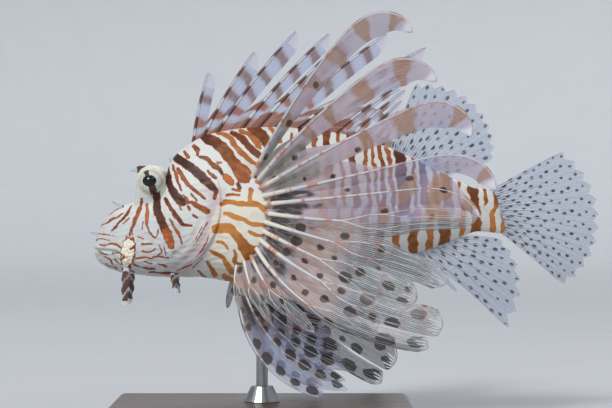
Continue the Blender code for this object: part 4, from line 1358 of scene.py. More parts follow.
@dataclass
class FinMesh:
    """Turns a fan into its two pieces: membrane and rays."""

    node: str
    fan: Fan
    across: int = 12
    fringe: dict[int, float] = field(default_factory=dict)
    branch_at: Row = (0.42, 0.66)
    root_radius: float = 1.1
    tip_radius: float = 0.28
    ray_sides: int = 8
    stretch: float = 1.5
    slim: float = 1.15
    slot: str = "fin_membrane"
    fork_share: float = 0.62
    overlap: float = 0.03
    ring_pitch: float = 1.4
    full_length: float = 90.0
    flatness: float = 0.75

    def lanes(self, level: int) -> Array:
        """Where the branches of a ray run across its membrane after so many forks."""
        count = 2**level
        return (2 * np.arange(count) + 1) / count - 1

    def shorter(self, ray: int, across: Array) -> Array:
        """The share of its length that the membrane keeps at a place across: longest at the branches."""
        if ray not in self.fringe:
            return np.ones_like(across)
        lanes = self.lanes(len(self.branch_at))
        nearest = np.min(np.abs(across[..., None] - lanes), axis=-1) * len(lanes)
        uneven = 0.7 + 0.3 * np.sin(9 * across + 2 * ray)
        return 1 - self.fringe[ray] * uneven * smooth(nearest, 0.1, 0.85)

    def grid(self, ray: int, edge: Edge) -> tuple[Array, Array, Array]:
        """Shares, places across and points of the membrane on one side of a ray."""
        share, across = np.meshgrid(
            self.fan.shares, edge.value * np.linspace(0, 1, self.across + 1), indexing="ij"
        )
        share = share * self.shorter(ray, across)
        return share, across, self.fan.at(ray, share, across)

    def find(self, view: View, dots: Sequence[Dot]) -> list[Mark]:
        """The marks for dots, set where the camera sees their middles on this fin."""
        strips = []
        for ray in range(len(self.fan.paths)):
            for edge in Edge:
                share, across, points = self.grid(ray, edge)
                strips.append((ray, share, across, *view.seen(points)))
        marks = []
        for dot in dots:
            best = (math.inf, 0, 0.0, 0.0)
            for ray, share, across, x, z in strips:
                gap = np.hypot(x - dot.x, z - dot.z)
                k = np.unravel_index(np.argmin(gap), gap.shape)
                best = min(best, (float(gap[k]), ray, float(share[k]), float(across[k])))
            marks.append(Mark(*best[1:], dot.radius))
        return marks

    def spot_depth(self, ray: int, points: Array, marks: Sequence[Mark]) -> Array:
        """Depth of a ray's points inside the nearest mark, which is longer along the ray than across."""
        depth = np.full(points.shape[:-1], OUTSIDE)
        for mark in marks:
            if abs(mark.ray - ray) > 1:
                continue
            away = points - self.fan.at(mark.ray, mark.share, mark.across)
            heading = self.fan.along[mark.ray][int(mark.share * self.fan.steps)]
            along = away @ heading
            sideways = np.sqrt(np.maximum(np.sum(away**2, axis=-1) - along**2, 0.0))
            depth = np.maximum(depth, mark.radius - np.hypot(along / self.stretch, sideways))
        return depth

    def membrane(self, finish: Material, looks: Looks, marks: Sequence[Mark] = ()) -> None:
        """Makes the membrane.

        Args:
            finish: its material.
            looks: gives the patterns that vary over it from ray, edge, shares and places across.
            marks: its dark spots.
        """
        plain = {"patch": 0.0, "dusk": 0.0, "moss": 0.0, "deep": 0.0, "tip": 0.0, "rib": 1.0}
        work = Patchwork((*plain, "spot", "veil", "along", "across", "lane"))
        for ray in range(len(self.fan.paths)):
            for edge in Edge:
                share, across, points = self.grid(ray, edge)
                width = np.linalg.norm(points - points[:, :1], axis=-1)
                patterns = plain | looks(ray, edge, share, across)
                spot = self.spot_depth(ray, points, marks)
                along = share * self.fan.lengths[ray]
                work.add(points, along=along, across=width + 7 * ray, lane=across, spot=spot, **patterns)
        place_piece(work.build(self.node + "_membrane", finish), self.slot, (self.node,))

    def _ray(self, ray: int, share: Array, across: Array, radii: Array, sides: int) -> Array:
        """The rings of one ray or branch."""
        neighbour = ray + 1 if ray + 1 < len(self.fan.paths) else ray - 1
        steps = np.clip((share * self.fan.steps).astype(int), 0, self.fan.steps)
        wide = self.fan.towards(ray, neighbour)[steps]
        return tube(self.fan.at(ray, share, across), radii, sides, wide, self.flatness)

    def rays(self, finish: Material, band: Band | None = None, plain: Sequence[int] = ()) -> None:
        """Makes the rays, each forking where branch_at says.

        Args:
            finish: their material.
            band: gives how dark a ray is from its number and the shares along it.
            plain: numbers of the rays that don't branch.
        """
        work = Patchwork(("along", "ray", "band"))
        for ray in range(len(self.fan.paths)):
            length = self.fan.lengths[ray]
            root, tip = self.root_radius * min(1.0, (length / self.full_length) ** 0.5), self.tip_radius
            stops = (0.0, 1.0) if ray in plain else (0.0, *self.branch_at, 1.0)
            for level, (start, stop) in enumerate(zip(stops, stops[1:])):
                end = min(stop + self.overlap, 1.0)
                share = np.linspace(start, end, max(8, int(length * (end - start) / self.ring_pitch)))
                radii = tip + (root - tip) * (1 - share) ** self.slim
                radii = self.fork_share**level * radii + 0.02 * level
                apart = smooth(share, start, start + 0.8 * (end - start)) if level else 0.0 * share
                rows = np.concatenate([share[:1], share, share[-1:]])[:, None]
                looks = {"along": rows * length, "ray": float(ray), "band": band(ray, rows) if band else 0.0}
                for k, lane in enumerate(self.lanes(level)):
                    before = self.lanes(level - 1)[k // 2] if level else 0.0
                    across = before + (lane - before) * apart
                    rings = self._ray(ray, share, across, radii, max(4, self.ray_sides - 2 * level))
                    work.add(rings, closed=True, **looks)
        place_piece(work.build(self.node + "_rays", finish), self.slot, (self.node,))


PECTORAL_DOTS = tuple(Dot(*row) for row in (
    (16.2, 194.4, 1.7), (32.4, 217.8, 1.5), (1.8, 174.6, 1.7), (-4.8, 162, 1.2), (7.8, 162, 1.4),
    (19.2, 174, 1.5), (25.8, 161.4, 0.9), (42.6, 163.2, 1.3), (57.6, 178.8, 1.3), (51, 154.8, 1.2),
    (88.8, 161.4, 1.5), (73.8, 142.2, 1.6), (108.6, 154.8, 1.6), (101.4, 138.6, 1.3), (49.8, 127.2, 2.1),
    (71.8, 119.4, 1.8), (23.4, 132, 2.6), (20.4, 124.2, 2.8), (34.8, 120.6, 1.6), (15, 117.6, 2.2),
    (8.4, 111, 1.7), (25.8, 112.2, 1.4), (43.8, 114, 1.3), (49.8, 102.6, 3), (34.8, 103.2, 1.5),
    (19.2, 102, 1.5), (6.6, 97.8, 1.6), (-4.8, 100.8, 1.6), (-13.2, 106.8, 1.8), (-13.2, 93.6, 1.8),
    (25.8, 93.6, 1.6), (48, 94.2, 1.9), (58.8, 105.6, 2.1), (76.2, 97.2, 2.6), (63, 89.4, 3.2),
    (84.6, 87.6, 2.4), (93.6, 80.4, 3.2), (78.6, 75, 3.2), (73.8, 64.8, 4), (93.6, 63, 3.8),
    (37.8, 89.4, 2), (52.8, 81.6, 2.8), (54, 66.6, 2.8), (12, 88.8, 1.5), (0, 90, 1.5), (12.6, 81, 2.6),
    (40, 76, 2.4), (88, 95, 1.6), (66, 79, 1.8), (60, 58, 2.6), (84, 56, 2.6), (46, 60, 2.2), (30, 72, 2),
    (22, 62, 2), (98, 90, 1.4), (70, 108, 1.5),
))
FAR_DOTS = tuple(Dot(*row) for row in (
    (40.8, 52.8, 2.8), (64.8, 44.4, 3.2), (82.8, 41.4, 3.2), (52.2, 36.6, 3.2), (30, 36.6, 2.8),
    (18.6, 53.4, 2.4), (74, 53, 2.4), (28, 47, 1.8),
))
PECTORAL_PATCHES = tuple(Dot(*row) for row in (
    (79.8, 257.4, 5), (61.8, 248.4, 5.5), (45.6, 234, 6), (33.6, 217.2, 4.5), (16.8, 194.4, 5.5),
    (83.4, 227.4, 6.5), (60.6, 213, 7), (42, 197.4, 4), (31.8, 184.8, 4), (117.6, 198.6, 5),
    (87.6, 190.8, 8.5), (61.8, 184.8, 4), (134.4, 165, 4.5), (110.4, 163.8, 7), (90, 162, 5.5),
    (124.8, 145.2, 5.5), (103.2, 138.6, 7), (74.4, 142.2, 5.5), (49.8, 127.8, 6.5), (72, 119.4, 5.5),
    (34.8, 121.2, 5), (44.4, 114.6, 4.5), (26.4, 112.8, 4.5),
))


@dataclass
class PectoralFin:
    """One of the two great fins at the sides."""

    form: BodyForm
    view: View
    side: Side
    rays: tuple[Row, ...] = (
        (64, -21, -120, 163, 0.16, 0.6, 13),
        (50.5, -20, -112, 154, 0.26, 0.6, 14.5),
        (30.5, -8, -130, 164, 0.38, 0.6, 14.5),
        (12, 2, -105, 165, 0.76, 0.6, 15),
        (5, 2, -80, 147, 0.94, 1.5, 9),
        (-9, 15, 0, 138, 0.62, 6, 5),
        (-17, 5, -28, 126, 0.46, 5, 9),
        (-27, 7, 0, 110, 0.50, 8, 10),
        (-39, 27, 0, 132, 0.66, 10.5, 12.5),
        (-59, 56, 0, 134, 0.46, 12.5, 6.5),
        (-66, 24, 30, 68, 0.62, 7, 0.6),
        (-80, 20, 25, 46, 0.62, 5, 0.6),
        (-104, 30, 10, 31, 1, 3, 0.6),
    )
    root_angles: Triple = (48.0, -8.2, -0.17)
    sunk: float = 1.0
    steps: int = 170
    unbranched: tuple[int, ...] = (0, 1, 2, 3, 4)
    fringe: tuple[tuple[int, float], ...] = ((5, 0.1), (6, 0.14), (7, 0.07), (8, 0.06), (9, 0.06), (10, 0.05))

    @property
    def flare(self) -> tuple[float, float, float, float]:
        """First and last angle out from the body, extra at the top ray, and how far the fin is turned up."""
        return (46, 14, 0, 0) if self.side is Side.LEFT else (26, 5, 32, -19)

    def fan(self) -> Fan:
        """The fin's surface."""
        sign, paths = self.side.value, []
        start_out, end_out, twist, drop = self.flare
        turn = math.radians(drop)
        for k, (start, bend, curl, length, *_) in enumerate(self.rays):
            angle = math.radians(self.root_angles[0] + self.root_angles[1] * k + self.root_angles[2] * k * k)
            x = self.form.lobe[0] + self.form.lobe_half[0] * math.cos(angle)
            z = self.form.lobe[1] + self.form.lobe_half[1] * math.sin(angle)
            out = float(self.form.half_breadth(np.array(x), np.array(z))) - self.sunk
            root = np.array((x, sign * out, z))
            extra = twist * (1 - k / (len(self.rays) - 1))
            flare = (start_out + extra, end_out + extra)
            x, y, z = (RayShape().path(root, length, start, bend, curl, flare, sign, self.steps) - root).T
            turned = (x * math.cos(turn) - z * math.sin(turn), y, x * math.sin(turn) + z * math.cos(turn))
            paths.append(root + np.stack(turned, axis=-1))
        table = np.array(self.rays)
        blunt = [k for k, _ in self.fringe[:-1]]
        taper = [(0.95, 1.0) if k in blunt else (0.84, 1.0) for k in range(len(self.rays))]
        widths = {Edge.UPPER: table[:, 5], Edge.LOWER: table[:, 6]}
        return Fan(np.array(paths), table[:, 4], widths, taper, billow=1.2 * sign)

    def _mesh(self) -> FinMesh:
        """The fin's mesh maker."""
        node = "pectoral_fin_" + self.side.word
        return FinMesh(node, self.fan(), 24, dict(self.fringe), (0.4, 0.58, 0.74), 1.5, 0.22, slim=2.2)

    def _veil(self, ray: int, upper: bool, share: Array, reach: Array) -> Array:
        """How opaque the membrane is: thick on the upper lobes, thinner where the flank shows and below."""
        if upper:
            flank = 0.27 * smooth(share, 0.26, 0.4) * (1 - smooth(share, 0.66, 0.8)) * (ray > 2)
            return 0.95 - 0.2 * smooth(share, 0.42, 0.7) - 0.06 * smooth(reach, 0.6, 1) - flank
        thin = 0.17 * smooth(share, 0.42, 0.68)
        if self.side is Side.RIGHT:
            thin = thin + 0.08 * smooth(share, 0.2, 0.5)
        return 0.93 - thin - 0.06 * reach

    def looks(self, mesh: FinMesh, patches: Sequence[Mark]) -> Looks:
        """The membrane's looks.

        Args:
            mesh: the fin's mesh maker.
            patches: the brown bands' places on the upper rays.

        Returns:
            A function that gives the patterns.
        """
        lengths = mesh.fan.lengths

        def patterns(ray: int, edge: Edge, share: Array, across: Array) -> dict[str, Array]:
            """Patches, dusky bases and clear parts of one side of one ray."""
            reach = np.abs(across)
            upper = ray < 5 or (ray == 5 and edge is Edge.UPPER)
            points = mesh.fan.at(ray, share, across)
            lower = smooth(ray + 0.5 * edge.value, 2.4, 3.8)
            strength, end = (0.46 * (ray > 2), 0.62) if upper else (0.6, 0.46)
            patch = strength * smooth(share, 0.2, 0.32) * (1 - smooth(share, end, end + 0.2))
            for mark in patches:
                if mark.ray == ray and upper:
                    slant = 1.8 * reach + 1.2 * ripple(points[..., 0], points[..., 2], 6, 0.5)
                    off = np.abs((share - mark.share) * lengths[ray] + slant - 1.0)
                    patch = np.maximum(patch, 1 - smooth(off / mark.radius + 0.4 * reach**2, 0.55, 1.4))
            end = share + 0.035 * np.sin(2.3 * ray + 4.0 * reach)
            end = end + 0.03 * ripple(share * 90, across * 4, 3.0, ray)
            base = smooth(share, 0.035, 0.07) * (1 - smooth(end, 0.13, 0.36)) * smooth(reach, 0.12, 0.55)
            blotch = 0.75 + 0.35 * ripple(share * 90, across * 3 + ray, 3.0, ray)
            moss = (1 - lower) * smooth(share, 0.04, 0.1) * (1 - smooth(end, 0.2, 0.46))
            tip = 0.8 * smooth(share / mesh.shorter(ray, across), 0.975, 1)
            if upper:
                tip = smooth(share, 0.935, 0.985)
            return {
                "patch": patch * (1 - tip * upper),
                "dusk": base * lower * (1 - smooth(ray, 9.5, 11)) * blotch,
                "moss": 0.75 * moss * smooth(reach, 0.1, 0.6),
                "deep": 0.0 if upper else 0.4 + 0.6 * smooth(share, 0.42, 0.66),
                "tip": tip,
                "rib": 0.15 if upper else 1.0,
                "veil": self._veil(ray, upper, share, reach),
            }

        return patterns

    def build(self, membrane: Material, rays: Material) -> None:
        """Makes the fin's membrane and rays."""
        mesh = self._mesh()
        left = mesh if self.side is Side.LEFT else PectoralFin(self.form, self.view, Side.LEFT)._mesh()
        marks = left.find(self.view, PECTORAL_DOTS)
        if self.side is Side.RIGHT:
            marks += mesh.find(self.view, FAR_DOTS)
        looks = self.looks(mesh, left.find(self.view, PECTORAL_PATCHES))
        mesh.membrane(membrane, looks, marks)
        mesh.rays(rays, plain=self.unbranched)


@dataclass
class PelvicFin:
    """One of the two fins under the belly: dark, folded and spotted."""

    side: Side
    rays: tuple[Row, ...] = (
        (-98, 84, 0, 92, 0.90),
        (-76, 60, 0, 95, 0.80),
        (-67, 52, 0, 85, 0.80),
        (-60, 46, 0, 73, 0.84),
        (-54, 42, 0, 61, 0.88),
        (-48, 38, 0, 49, 1),
    )
    root: tuple[float, float, float, float] = (-13.2, 99.5, 1.6, 6.0)
    flare: Pair = (24.0, 6.0)
    lead: float = 0.8
    breadth: float = 3.0
    spot_pitch: float = 11.0

    def build(self, membrane: Material, rays: Material) -> None:
        """Makes the fin's membrane and rays."""
        x, z, step, out = self.root
        sign = self.side.value
        paths = [
            RayShape().path((x + step * k, sign * out, z), length, start, bend, curl, self.flare, sign, 110)
            for k, (start, bend, curl, length, _) in enumerate(self.rays)
        ]
        count = len(self.rays)
        widths = {Edge.UPPER: [self.lead] * count, Edge.LOWER: [self.breadth] * count}
        joined, taper = [row[4] for row in self.rays], [(0.9, 1.0)] * count
        fan = Fan(np.array(paths), joined, widths, taper, billow=0.8 * sign)
        node = "pelvic_fin_" + self.side.word
        mesh = FinMesh(node, fan, 12, {k: 0.04 for k in range(1, count)}, (0.5, 0.72), 0.8, 0.2, 6)
        marks = []
        for ray in range(count):
            for k in range(int(fan.lengths[ray] / self.spot_pitch)):
                share = (k + 0.8 + 0.45 * (ray % 2)) * self.spot_pitch / fan.lengths[ray]
                radius = 1.3 + 1.7 * share + 0.5 * math.sin(5.0 * k + ray)
                marks.append(Mark(ray, min(share, 0.96), 0.5, radius))

        def looks(ray: int, edge: Edge, share: Array, across: Array) -> dict[str, Array]:
            """A dusky base that clears outwards, with brown patches between the spots."""
            reach = np.abs(across)
            dusk = 0.75 * smooth(share, 0.04, 0.12) * (1 - smooth(share, 0.22, 0.45))
            dusk = dusk * smooth(reach, 0.05, 0.5)
            wave = 0.5 + 0.5 * np.sin(2 * math.pi * share * fan.lengths[ray] / self.spot_pitch + ray)
            veil = 0.72 - 0.2 * smooth(share, 0.3, 0.6)
            return {"patch": wave * 0.45 * (share < 0.95), "dusk": dusk, "veil": veil, "rib": 0.6}

        def band(ray: int, share: Array) -> Array:
            """Short dark bars along each ray."""
            return 0.5 * smooth(np.sin(share * 24 + 2 * ray), 0.6, 0.95)

        mesh.membrane(membrane, looks, marks)
        mesh.rays(rays, band, (0,))


@dataclass
class SpinyDorsal:
    """Thirteen tall spines on the back, each with a banded flag of membrane."""

    form: BodyForm
    spines: tuple[Row, ...] = (
        (-41, 83, 42, 6), (-35, 64, 59, 8), (-27, 57, 77, 8), (-12, 52.5, 77, 7.5), (-2, 49.5, 82, 7.5),
        (8, 45, 87, 7.5), (21, 37, 91, 7), (33, 38, 71, 4.6), (44.5, 41.5, 55, 4.2), (54, 46, 42, 3.2),
        (61.5, 51, 32, 2.2), (67.3, 56.5, 24, 1.2), (72.5, 64, 20, 0.9),
    )
    bend: float = -10.0
    web: float = 0.14
    lead: float = 0.8
    band_pitch: float = 14.5
    pale_tip: float = 7.5

    def _band(self, ray: int, share: Array) -> Array:
        """How brown the flag is, in bands counted from the tip."""
        from_tip = (1 - share) * self.spines[ray][2] - self.pale_tip
        wave = 0.5 - 0.5 * np.cos(2 * math.pi * (from_tip + 1.3 * math.sin(2.1 * ray)) / self.band_pitch)
        return np.maximum(wave, 1 - smooth(share, 0.05, 0.2)) * smooth(from_tip, -1, 2)

    def build(self, membrane: Material, rays: Material) -> None:
        """Makes the flags and the spines."""
        paths = []
        for x, angle, length, _ in self.spines:
            root = self.form.root(x, Rim.BACK)
            paths.append(RayShape().path(root, length, angle, self.bend, steps=90))
        count = len(self.spines)
        widths = {Edge.UPPER: [self.lead] * count, Edge.LOWER: [row[3] for row in self.spines]}
        fan = Fan(np.array(paths), [self.web] * count, widths, [(0.86, 1.0)] * count, fade=0.2, billow=0.5)
        mesh = FinMesh("spiny_dorsal_fin", fan, 12, {}, (), 1.15, 0.35, slot="spine_membrane")

        def looks(ray: int, edge: Edge, share: Array, across: Array) -> dict[str, Array]:
            """Brown bands between clear ones, redder near the body, and a pale tip."""
            band = self._band(ray, share + 0.03 * across**2 + 0.012 * np.sin(9.0 * share + ray))
            tip = smooth((1 - share) * self.spines[ray][2], self.pale_tip - 0.5, self.pale_tip + 1.5)
            clear = 0.62 - 0.14 * smooth(np.abs(across), 0.6, 1)
            red = band * (1 - smooth(share, 0.22, 0.5))
            return {"patch": band, "moss": red, "rib": 0.4, "veil": 0.92 - tip * (0.92 - clear)}

        mesh.membrane(membrane, looks)
        mesh.rays(rays, self._band, range(count))


@dataclass(frozen=True)
class SoftSpread:
    """How the rays of a soft fin spread: roots, angles, lengths at three places and their number."""

    roots: Pair
    angles: Pair
    lengths: Triple
    rays: int
    bend: float


@dataclass(frozen=True)
class TailSpread:
    """How the tail fin's rays spread, with roots and lengths at three places."""

    x: Triple = (139.5, 143.6, 145.5)
    z: Triple = (154.2, 142.0, 130.4)
    lengths: Triple = (62.0, 78.0, 63.0)
    angles: Pair = (29.0, -36.0)
    flare: Pair = (24.0, 38.0)
    bend: float = -4.0
    rays: int = 12


DORSAL_SPREAD = SoftSpread((79, 110), (74, 24), (42, 49, 32), 11, -8)
ANAL_SPREAD = SoftSpread((98, 118), (-39, -2), (70, 54, 28), 7, -6)
ANAL_SPINES = ((86, -57, 15), (90, -47, 25), (94, -43, 33))


def three_way(values: Sequence[float], share: float) -> float:
    """A value along a smooth curve that passes through the first, middle and last of three."""
    first, middle, last = values
    return first + (4 * middle - 3 * first - last) * share + (2 * first + 2 * last - 4 * middle) * share**2


@dataclass
class SoftFin:
    """A clear fin on the middle line, with rows of small dark dots."""

    form: BodyForm
    name: str
    dot_pitch: float = 6.2
    dot_radius: float = 1.15
    root_radius: float = 0.6
    spine_bend: float = -4.0

    def spread_paths(self, spread: SoftSpread, rim: Rim) -> list[Array]:
        """Rays spread evenly along the back or the belly.

        Args:
            spread: how they spread.
            rim: the outline that they stand on.

        Returns:
            One path for each ray.
        """
        paths = []
        start, end, most = self.form.swing
        for k in range(spread.rays):
            share = k / (spread.rays - 1)
            x = spread.roots[0] + (spread.roots[1] - spread.roots[0]) * share
            angle = spread.angles[0] + (spread.angles[1] - spread.angles[0]) * share
            turn = math.degrees(math.atan2(2 * most * (x - start), (end - start) ** 2))
            flare = turn * abs(math.cos(math.radians(angle)))
            length, flares = three_way(spread.lengths, share), (flare, 1.6 * flare)
            root = self.form.root(x, rim)
            paths.append(RayShape().path(root, length, angle, spread.bend, 0.0, flares, steps=80))
        return paths

    def spine_paths(self, spines: Sequence[Triple]) -> list[Array]:
        """Short spines on the belly.

        Args:
            spines: place along the body, angle and length of each.

        Returns:
            One path for each spine.
        """
        return [
            RayShape().path(self.form.root(x, Rim.BELLY), length, angle, self.spine_bend, steps=80)
            for x, angle, length in spines
        ]

    def tail_paths(self, spread: TailSpread) -> list[Array]:
        """Rays fanned from the slanted end of the tail.

        Args:
            spread: how they spread.

        Returns:
            One path for each ray.
        """
        paths = []
        first, last = spread.angles
        for share in np.arange(spread.rays) / (spread.rays - 1):
            x, z, length = (three_way(row, share) for row in (spread.x, spread.z, spread.lengths))
            root = (x, float(self.form.swung(np.array(x))), z)
            angle = first + (last - first) * share
            paths.append(RayShape().path(root, length, angle, spread.bend, 0.0, spread.flare, steps=90))
        return paths

    def build(self, paths: list[Array], short: int, membrane: Material, rays: Material) -> None:
        """Makes the fin.

        Args:
            paths: its rays.
            short: how many of the first are short spines, joined halfway.
            membrane: the membrane's material.
            rays: the rays' material.
        """
        count = len(paths)
        joined = [0.5] * short + [0.93] * (count - short)
        widths = {Edge.UPPER: [1.0] * count, Edge.LOWER: [1.8] * count}
        fan = Fan(np.array(paths), joined, widths, [(0.86, 1.0)] * count, fade=0.07, billow=0.3)
        fringe = {ray: 0.04 for ray in range(short, count)}
        mesh = FinMesh(self.name, fan, 12, fringe, (0.38, 0.66), self.root_radius, 0.15, 6)
        marks = []
        for ray in range(short, count):
            for k in range(int(fan.lengths[ray] / self.dot_pitch)):
                share = (k + 0.75 + 0.5 * (ray % 2)) * self.dot_pitch / fan.lengths[ray]
                if share < 0.97:
                    uneven = 1 - 0.25 * share + 0.15 * math.sin(7 * k + 3 * ray)
                    marks.append(Mark(ray, share, 0.35 if k % 2 else -0.2, self.dot_radius * uneven))

        def looks(ray: int, edge: Edge, share: Array, across: Array) -> dict[str, Array]:
            """Nearly clear, a little milky at the root."""
            return {"veil": 0.4 + 0.34 * (1 - smooth(share, 0, 0.3))}

        mesh.membrane(membrane, looks, marks)
        mesh.rays(rays, plain=range(short))


@dataclass(frozen=True)
class FlapShape:
    """A skin flap: root, angle, bend, length, half width, flare, outline and colours."""

    x: float
    z: float
    out: float
    angle: float
    bend: float
    length: float
    half: float
    flare: float
    ragged: float = 0.3
    teeth: float = 3.0
    point: float = 3.0
    pale_from: float = 0.55
    brown: float = 0.5


FLAPS = {
    "brow": FlapShape(-68.6, 166.8, 13.6, 174, 14, 9.5, 2.6, 12, 0.15, 2, 1.2, 0.66, 0.8),
    "nose": FlapShape(-84, 145, 4.5, 142, 10, 6.5, 1.3, 15, 0.45, 3.5, 2, 0.3, 0.2),
    "snout": FlapShape(-96.6, 128.8, 6, 160, 20, 6, 1.7, 20, 0.5, 3, 2, 0.3, 0.2),
    "mouth": FlapShape(-80.2, 106.5, 15, -90, -4, 21, 2.6, 4, 0.35, 3.4, 3, 0.86, 0.75),
    "cheek": FlapShape(-52.5, 103.5, 15, -84, 8, 11.5, 1.6, 4, 0.4, 3, 2, 0.7, 0.75),
}


@dataclass
class Flap:
    """A small fleshy flap with a ragged edge."""

    kind: str
    shape: FlapShape
    side: Side
    steps: int = 60
    ring_points: int = 32
    least_half: float = 0.25
    thick_half: Pair = (0.34, 0.18)

    def build(self, finish: Material) -> None:
        """Makes the flap as a thin closed leaf."""
        shape, sign = self.shape, self.side.value
        root = (shape.x, sign * shape.out, shape.z)
        flare = (shape.flare, shape.flare)
        path = RayShape().path(root, shape.length, shape.angle, shape.bend, 0.0, flare, sign, self.steps)
        share = np.linspace(0, 1, self.steps + 1)
        along = unit(np.gradient(path, axis=0))
        across = unit(np.cross((0.0, 1.0, 0.0), along)) * sign
        turns = np.linspace(0, 2 * math.pi, self.ring_points + 1)[:-1]
        width = shape.half * np.sqrt(np.clip(1 - share**shape.point, 0, 1))
        width = self.least_half + width * smooth(share, -0.35, 0.4)
        teeth = 0.5 - 0.5 * np.cos(2 * math.pi * shape.teeth * share[:, None] + 1.3 * np.sin(turns))
        edge = width[:, None] * (1 - shape.ragged * teeth * smooth(share, 0.1, 0.5)[:, None])
        thin = np.cross(along, across) * np.interp(share, (0, 1), self.thick_half)[:, None]
        offset = np.cos(turns)[None, :, None] * across[:, None] * edge[..., None]
        offset = offset + np.sin(turns)[None, :, None] * thin[:, None]
        rings = capped(path, path[:, None] + offset)
        rows = np.concatenate([[0.0], share, [1.0]])[:, None] + 0 * turns
        work = Patchwork(("along", "ray", "band"))
        dark = shape.brown + (1 - shape.brown) * np.sin(rows * 17 + 2 * np.cos(turns))
        pale = smooth(rows, shape.pale_from - 0.05, shape.pale_from + 0.05)
        band = (1 - pale) * smooth(rows, 0.02, 0.15) * dark
        work.add(rings, closed=True, along=rows * shape.length, ray=float(sign), band=band)
        node = f"{self.kind}_flap_{self.side.word}"
        place_piece(work.build(node + "_leaf", finish), "striped_skin", (node,))


@dataclass
class NapeSpine:
    """The short bony spine that stands on each side of the nape, behind the eye."""

    side: Side
    foot: Triple = (-50.0, 3.0, 168.8)
    tip: Triple = (-55.6, 5.5, 174.6)
    radius: float = 1.7
    bow: Triple = (-0.9, 0.0, -0.3)

    def build(self, finish: Material) -> None:
        """Makes the spine as a bent cone rooted in the skin."""
        share = np.linspace(0, 1, 24)
        foot, tip = (np.array((x, self.side.value * y, z)) for x, y, z in (self.foot, self.tip))
        bow = np.array(self.bow) * np.sin(math.pi * share)[:, None]
        path = foot + (tip - foot) * share[:, None] + bow
        rings = tube(path, 0.12 + self.radius * (1 - share) ** 0.8, 16)
        work = Patchwork(("along", "ray", "band"))
        work.add(rings, closed=True, along=6.0, ray=float(self.side.value), band=0.0)
        place_piece(work.build("nape_spine_" + self.side.word, finish), "striped_skin")


@dataclass
class Stand:
    """The plain display stand, whose solids stay and get their finishes."""

    wood: tuple[str, ...] = ("stand_base",)
    steel: tuple[str, ...] = ("stand_collar", "stand_rod")

    def dress(self, nodes: dict[str, Piece]) -> None:
        """Gives each solid its finish in place of the plain one."""
        for names, finish in ((self.wood, WoodFinish().build()), (self.steel, SteelFinish().build())):
            for name in names:
                nodes[name].data.materials.clear()
                nodes[name].data.materials.append(finish)
                log.info("%s dressed", name)


@dataclass(frozen=True)
class Lamp:
    """A soft far lamp: the direction it stands in, its strength and how wide it looks, in degrees."""

    name: str
    stands: Triple
    strength: float
    angle: float

    def build(self) -> None:
        """Adds the lamp."""
        data = bpy.data.lights.new(self.name, "SUN")
        data.energy = self.strength
        data.angle = math.radians(self.angle)
        lamp = bpy.data.objects.new(self.name, data)
        lamp.rotation_euler = Vector(self.stands).to_track_quat("Z", "Y").to_euler()
        bpy.context.scene.collection.objects.link(lamp)


@dataclass
class Studio:
    """A plain pale floor that sweeps up far away, and soft light."""

    flat: float = 2700.0
    sweep: float = 900.0
    wall: float = 2600.0
    sides: int = 96
    world: float = 0.44
    sky: Colour = screen(238, 242, 248)
    lamps: tuple[Lamp, ...] = (
        Lamp("key", (-0.5, -0.8, 0.9), 1.95, 16.0),
        Lamp("fill", (0.9, -0.7, 0.55), 0.5, 60.0),
        Lamp("rim", (0.35, 0.9, 0.8), 1.1, 25.0),
    )

    def _floor(self) -> None:
        """Makes the floor and its far sweep as one surface."""
        turn = np.linspace(0, math.pi / 2, 17)[1:]
        radii = [1.0, 400.0, 1200.0, self.flat, *(self.flat + self.sweep * np.sin(turn))]
        heights = [0.0, 0.0, 0.0, 0.0, *(self.sweep * (1 - np.cos(turn)))]
        radii.append(self.flat + self.sweep)
        heights.append(self.wall)
        angle = 2 * math.pi * np.arange(self.sides) / self.sides
        radius, height = np.array(radii)[:, None], np.array(heights)[:, None]
        level = height + 0 * angle - FISH_LEVEL
        work = Patchwork()
        work.add(np.stack([radius * np.cos(angle), radius * np.sin(angle), level], axis=-1), closed=True)
        work.build("floor", FloorFinish().build())

    def build(self) -> None:
        """Adds the floor, the lamps and the even light from all round."""
        self._floor()
        for lamp in self.lamps:
            lamp.build()
        world = bpy.data.worlds.new("studio")
        world.use_nodes = True
        light = world.node_tree.nodes["Background"].inputs
        light["Color"].default_value = self.sky
        light["Strength"].default_value = self.world
        bpy.context.scene.world = world
        bpy.context.scene.view_settings.view_transform = "Standard"
        log.info("studio built")


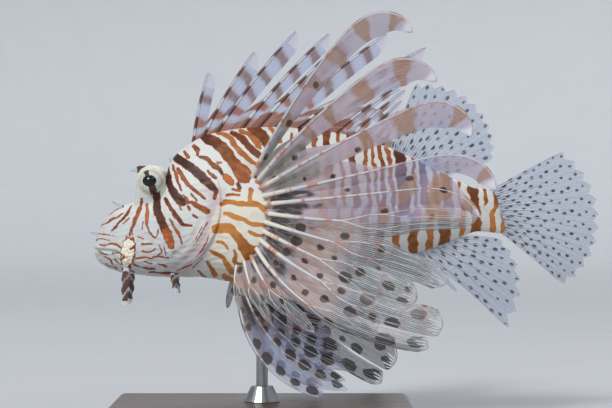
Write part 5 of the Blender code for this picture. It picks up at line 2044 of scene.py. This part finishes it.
def build_fish(form: BodyForm, view: View) -> None:
    """Builds every piece of the fish in order, from the skin outwards.

    Args:
        form: the shape of the body.
        view: where the camera sees markings from.
    """
    Skin(form, view).build(SkinFinish().build())
    eye = EyeFinish().build()
    great = MembraneFinish(
        "pectoral_membrane", screen(184, 164, 174), screen(160, 114, 74), screen(30, 21, 17),
        screen(146, 156, 204), striae=0.6,
    ).build()
    dark = MembraneFinish(
        "pelvic_membrane", screen(136, 134, 156), screen(96, 62, 50), screen(40, 27, 24),
        screen(120, 138, 186),
    ).build()
    flag = MembraneFinish(
        "flag_membrane", screen(206, 202, 218), screen(122, 72, 50), screen(110, 56, 34),
        screen(122, 148, 206), moss=screen(156, 80, 34), striae=0.1,
    ).build()
    soft = MembraneFinish(
        "soft_membrane", screen(172, 186, 210), screen(150, 120, 100), screen(90, 80, 74),
        screen(140, 162, 204), halo=screen(150, 160, 184), ragged=0.7,
    ).build()
    pale = RayFinish("pale_rays", root=screen(234, 228, 212)).build()
    banded = RayFinish("banded_rays", tinted=0.25, band=screen(98, 54, 36)).build()
    glassy = RayFinish("glassy_rays", screen(190, 204, 220), screen(172, 184, 202), tinted=0.5).build()
    fleshy = RayFinish(
        "flap_skin", screen(226, 226, 224), screen(196, 206, 226), screen(92, 58, 44), 0.5
    ).build()
    for side in Side:
        Eye(form, side).build(eye)
        PectoralFin(form, view, side).build(great, pale)
        PelvicFin(side).build(dark, pale)
        NapeSpine(side).build(fleshy)
    SpinyDorsal(form).build(flag, banded)
    dorsal = SoftFin(form, "soft_dorsal_fin")
    dorsal.build(dorsal.spread_paths(DORSAL_SPREAD, Rim.BACK), 0, soft, glassy)
    anal = SoftFin(form, "anal_fin", root_radius=0.9)
    anal_paths = anal.spine_paths(ANAL_SPINES) + anal.spread_paths(ANAL_SPREAD, Rim.BELLY)
    anal.build(anal_paths, len(ANAL_SPINES), soft, glassy)
    tail = SoftFin(form, "tail_fin")
    tail.build(tail.tail_paths(TailSpread()), 0, soft, glassy)
    for kind, shape in FLAPS.items():
        for side in Side:
            Flap(kind, shape, side).build(fleshy)


def main() -> None:
    """Builds the studio, the fish and the stand's finishes."""
    logging.basicConfig(level=logging.INFO, format="%(message)s")
    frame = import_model()
    view = View()
    view.build()
    Studio().build()
    build_fish(BodyForm(), view)
    Stand().dress(frame["nodes"])


if __name__ == "__main__":
    main()
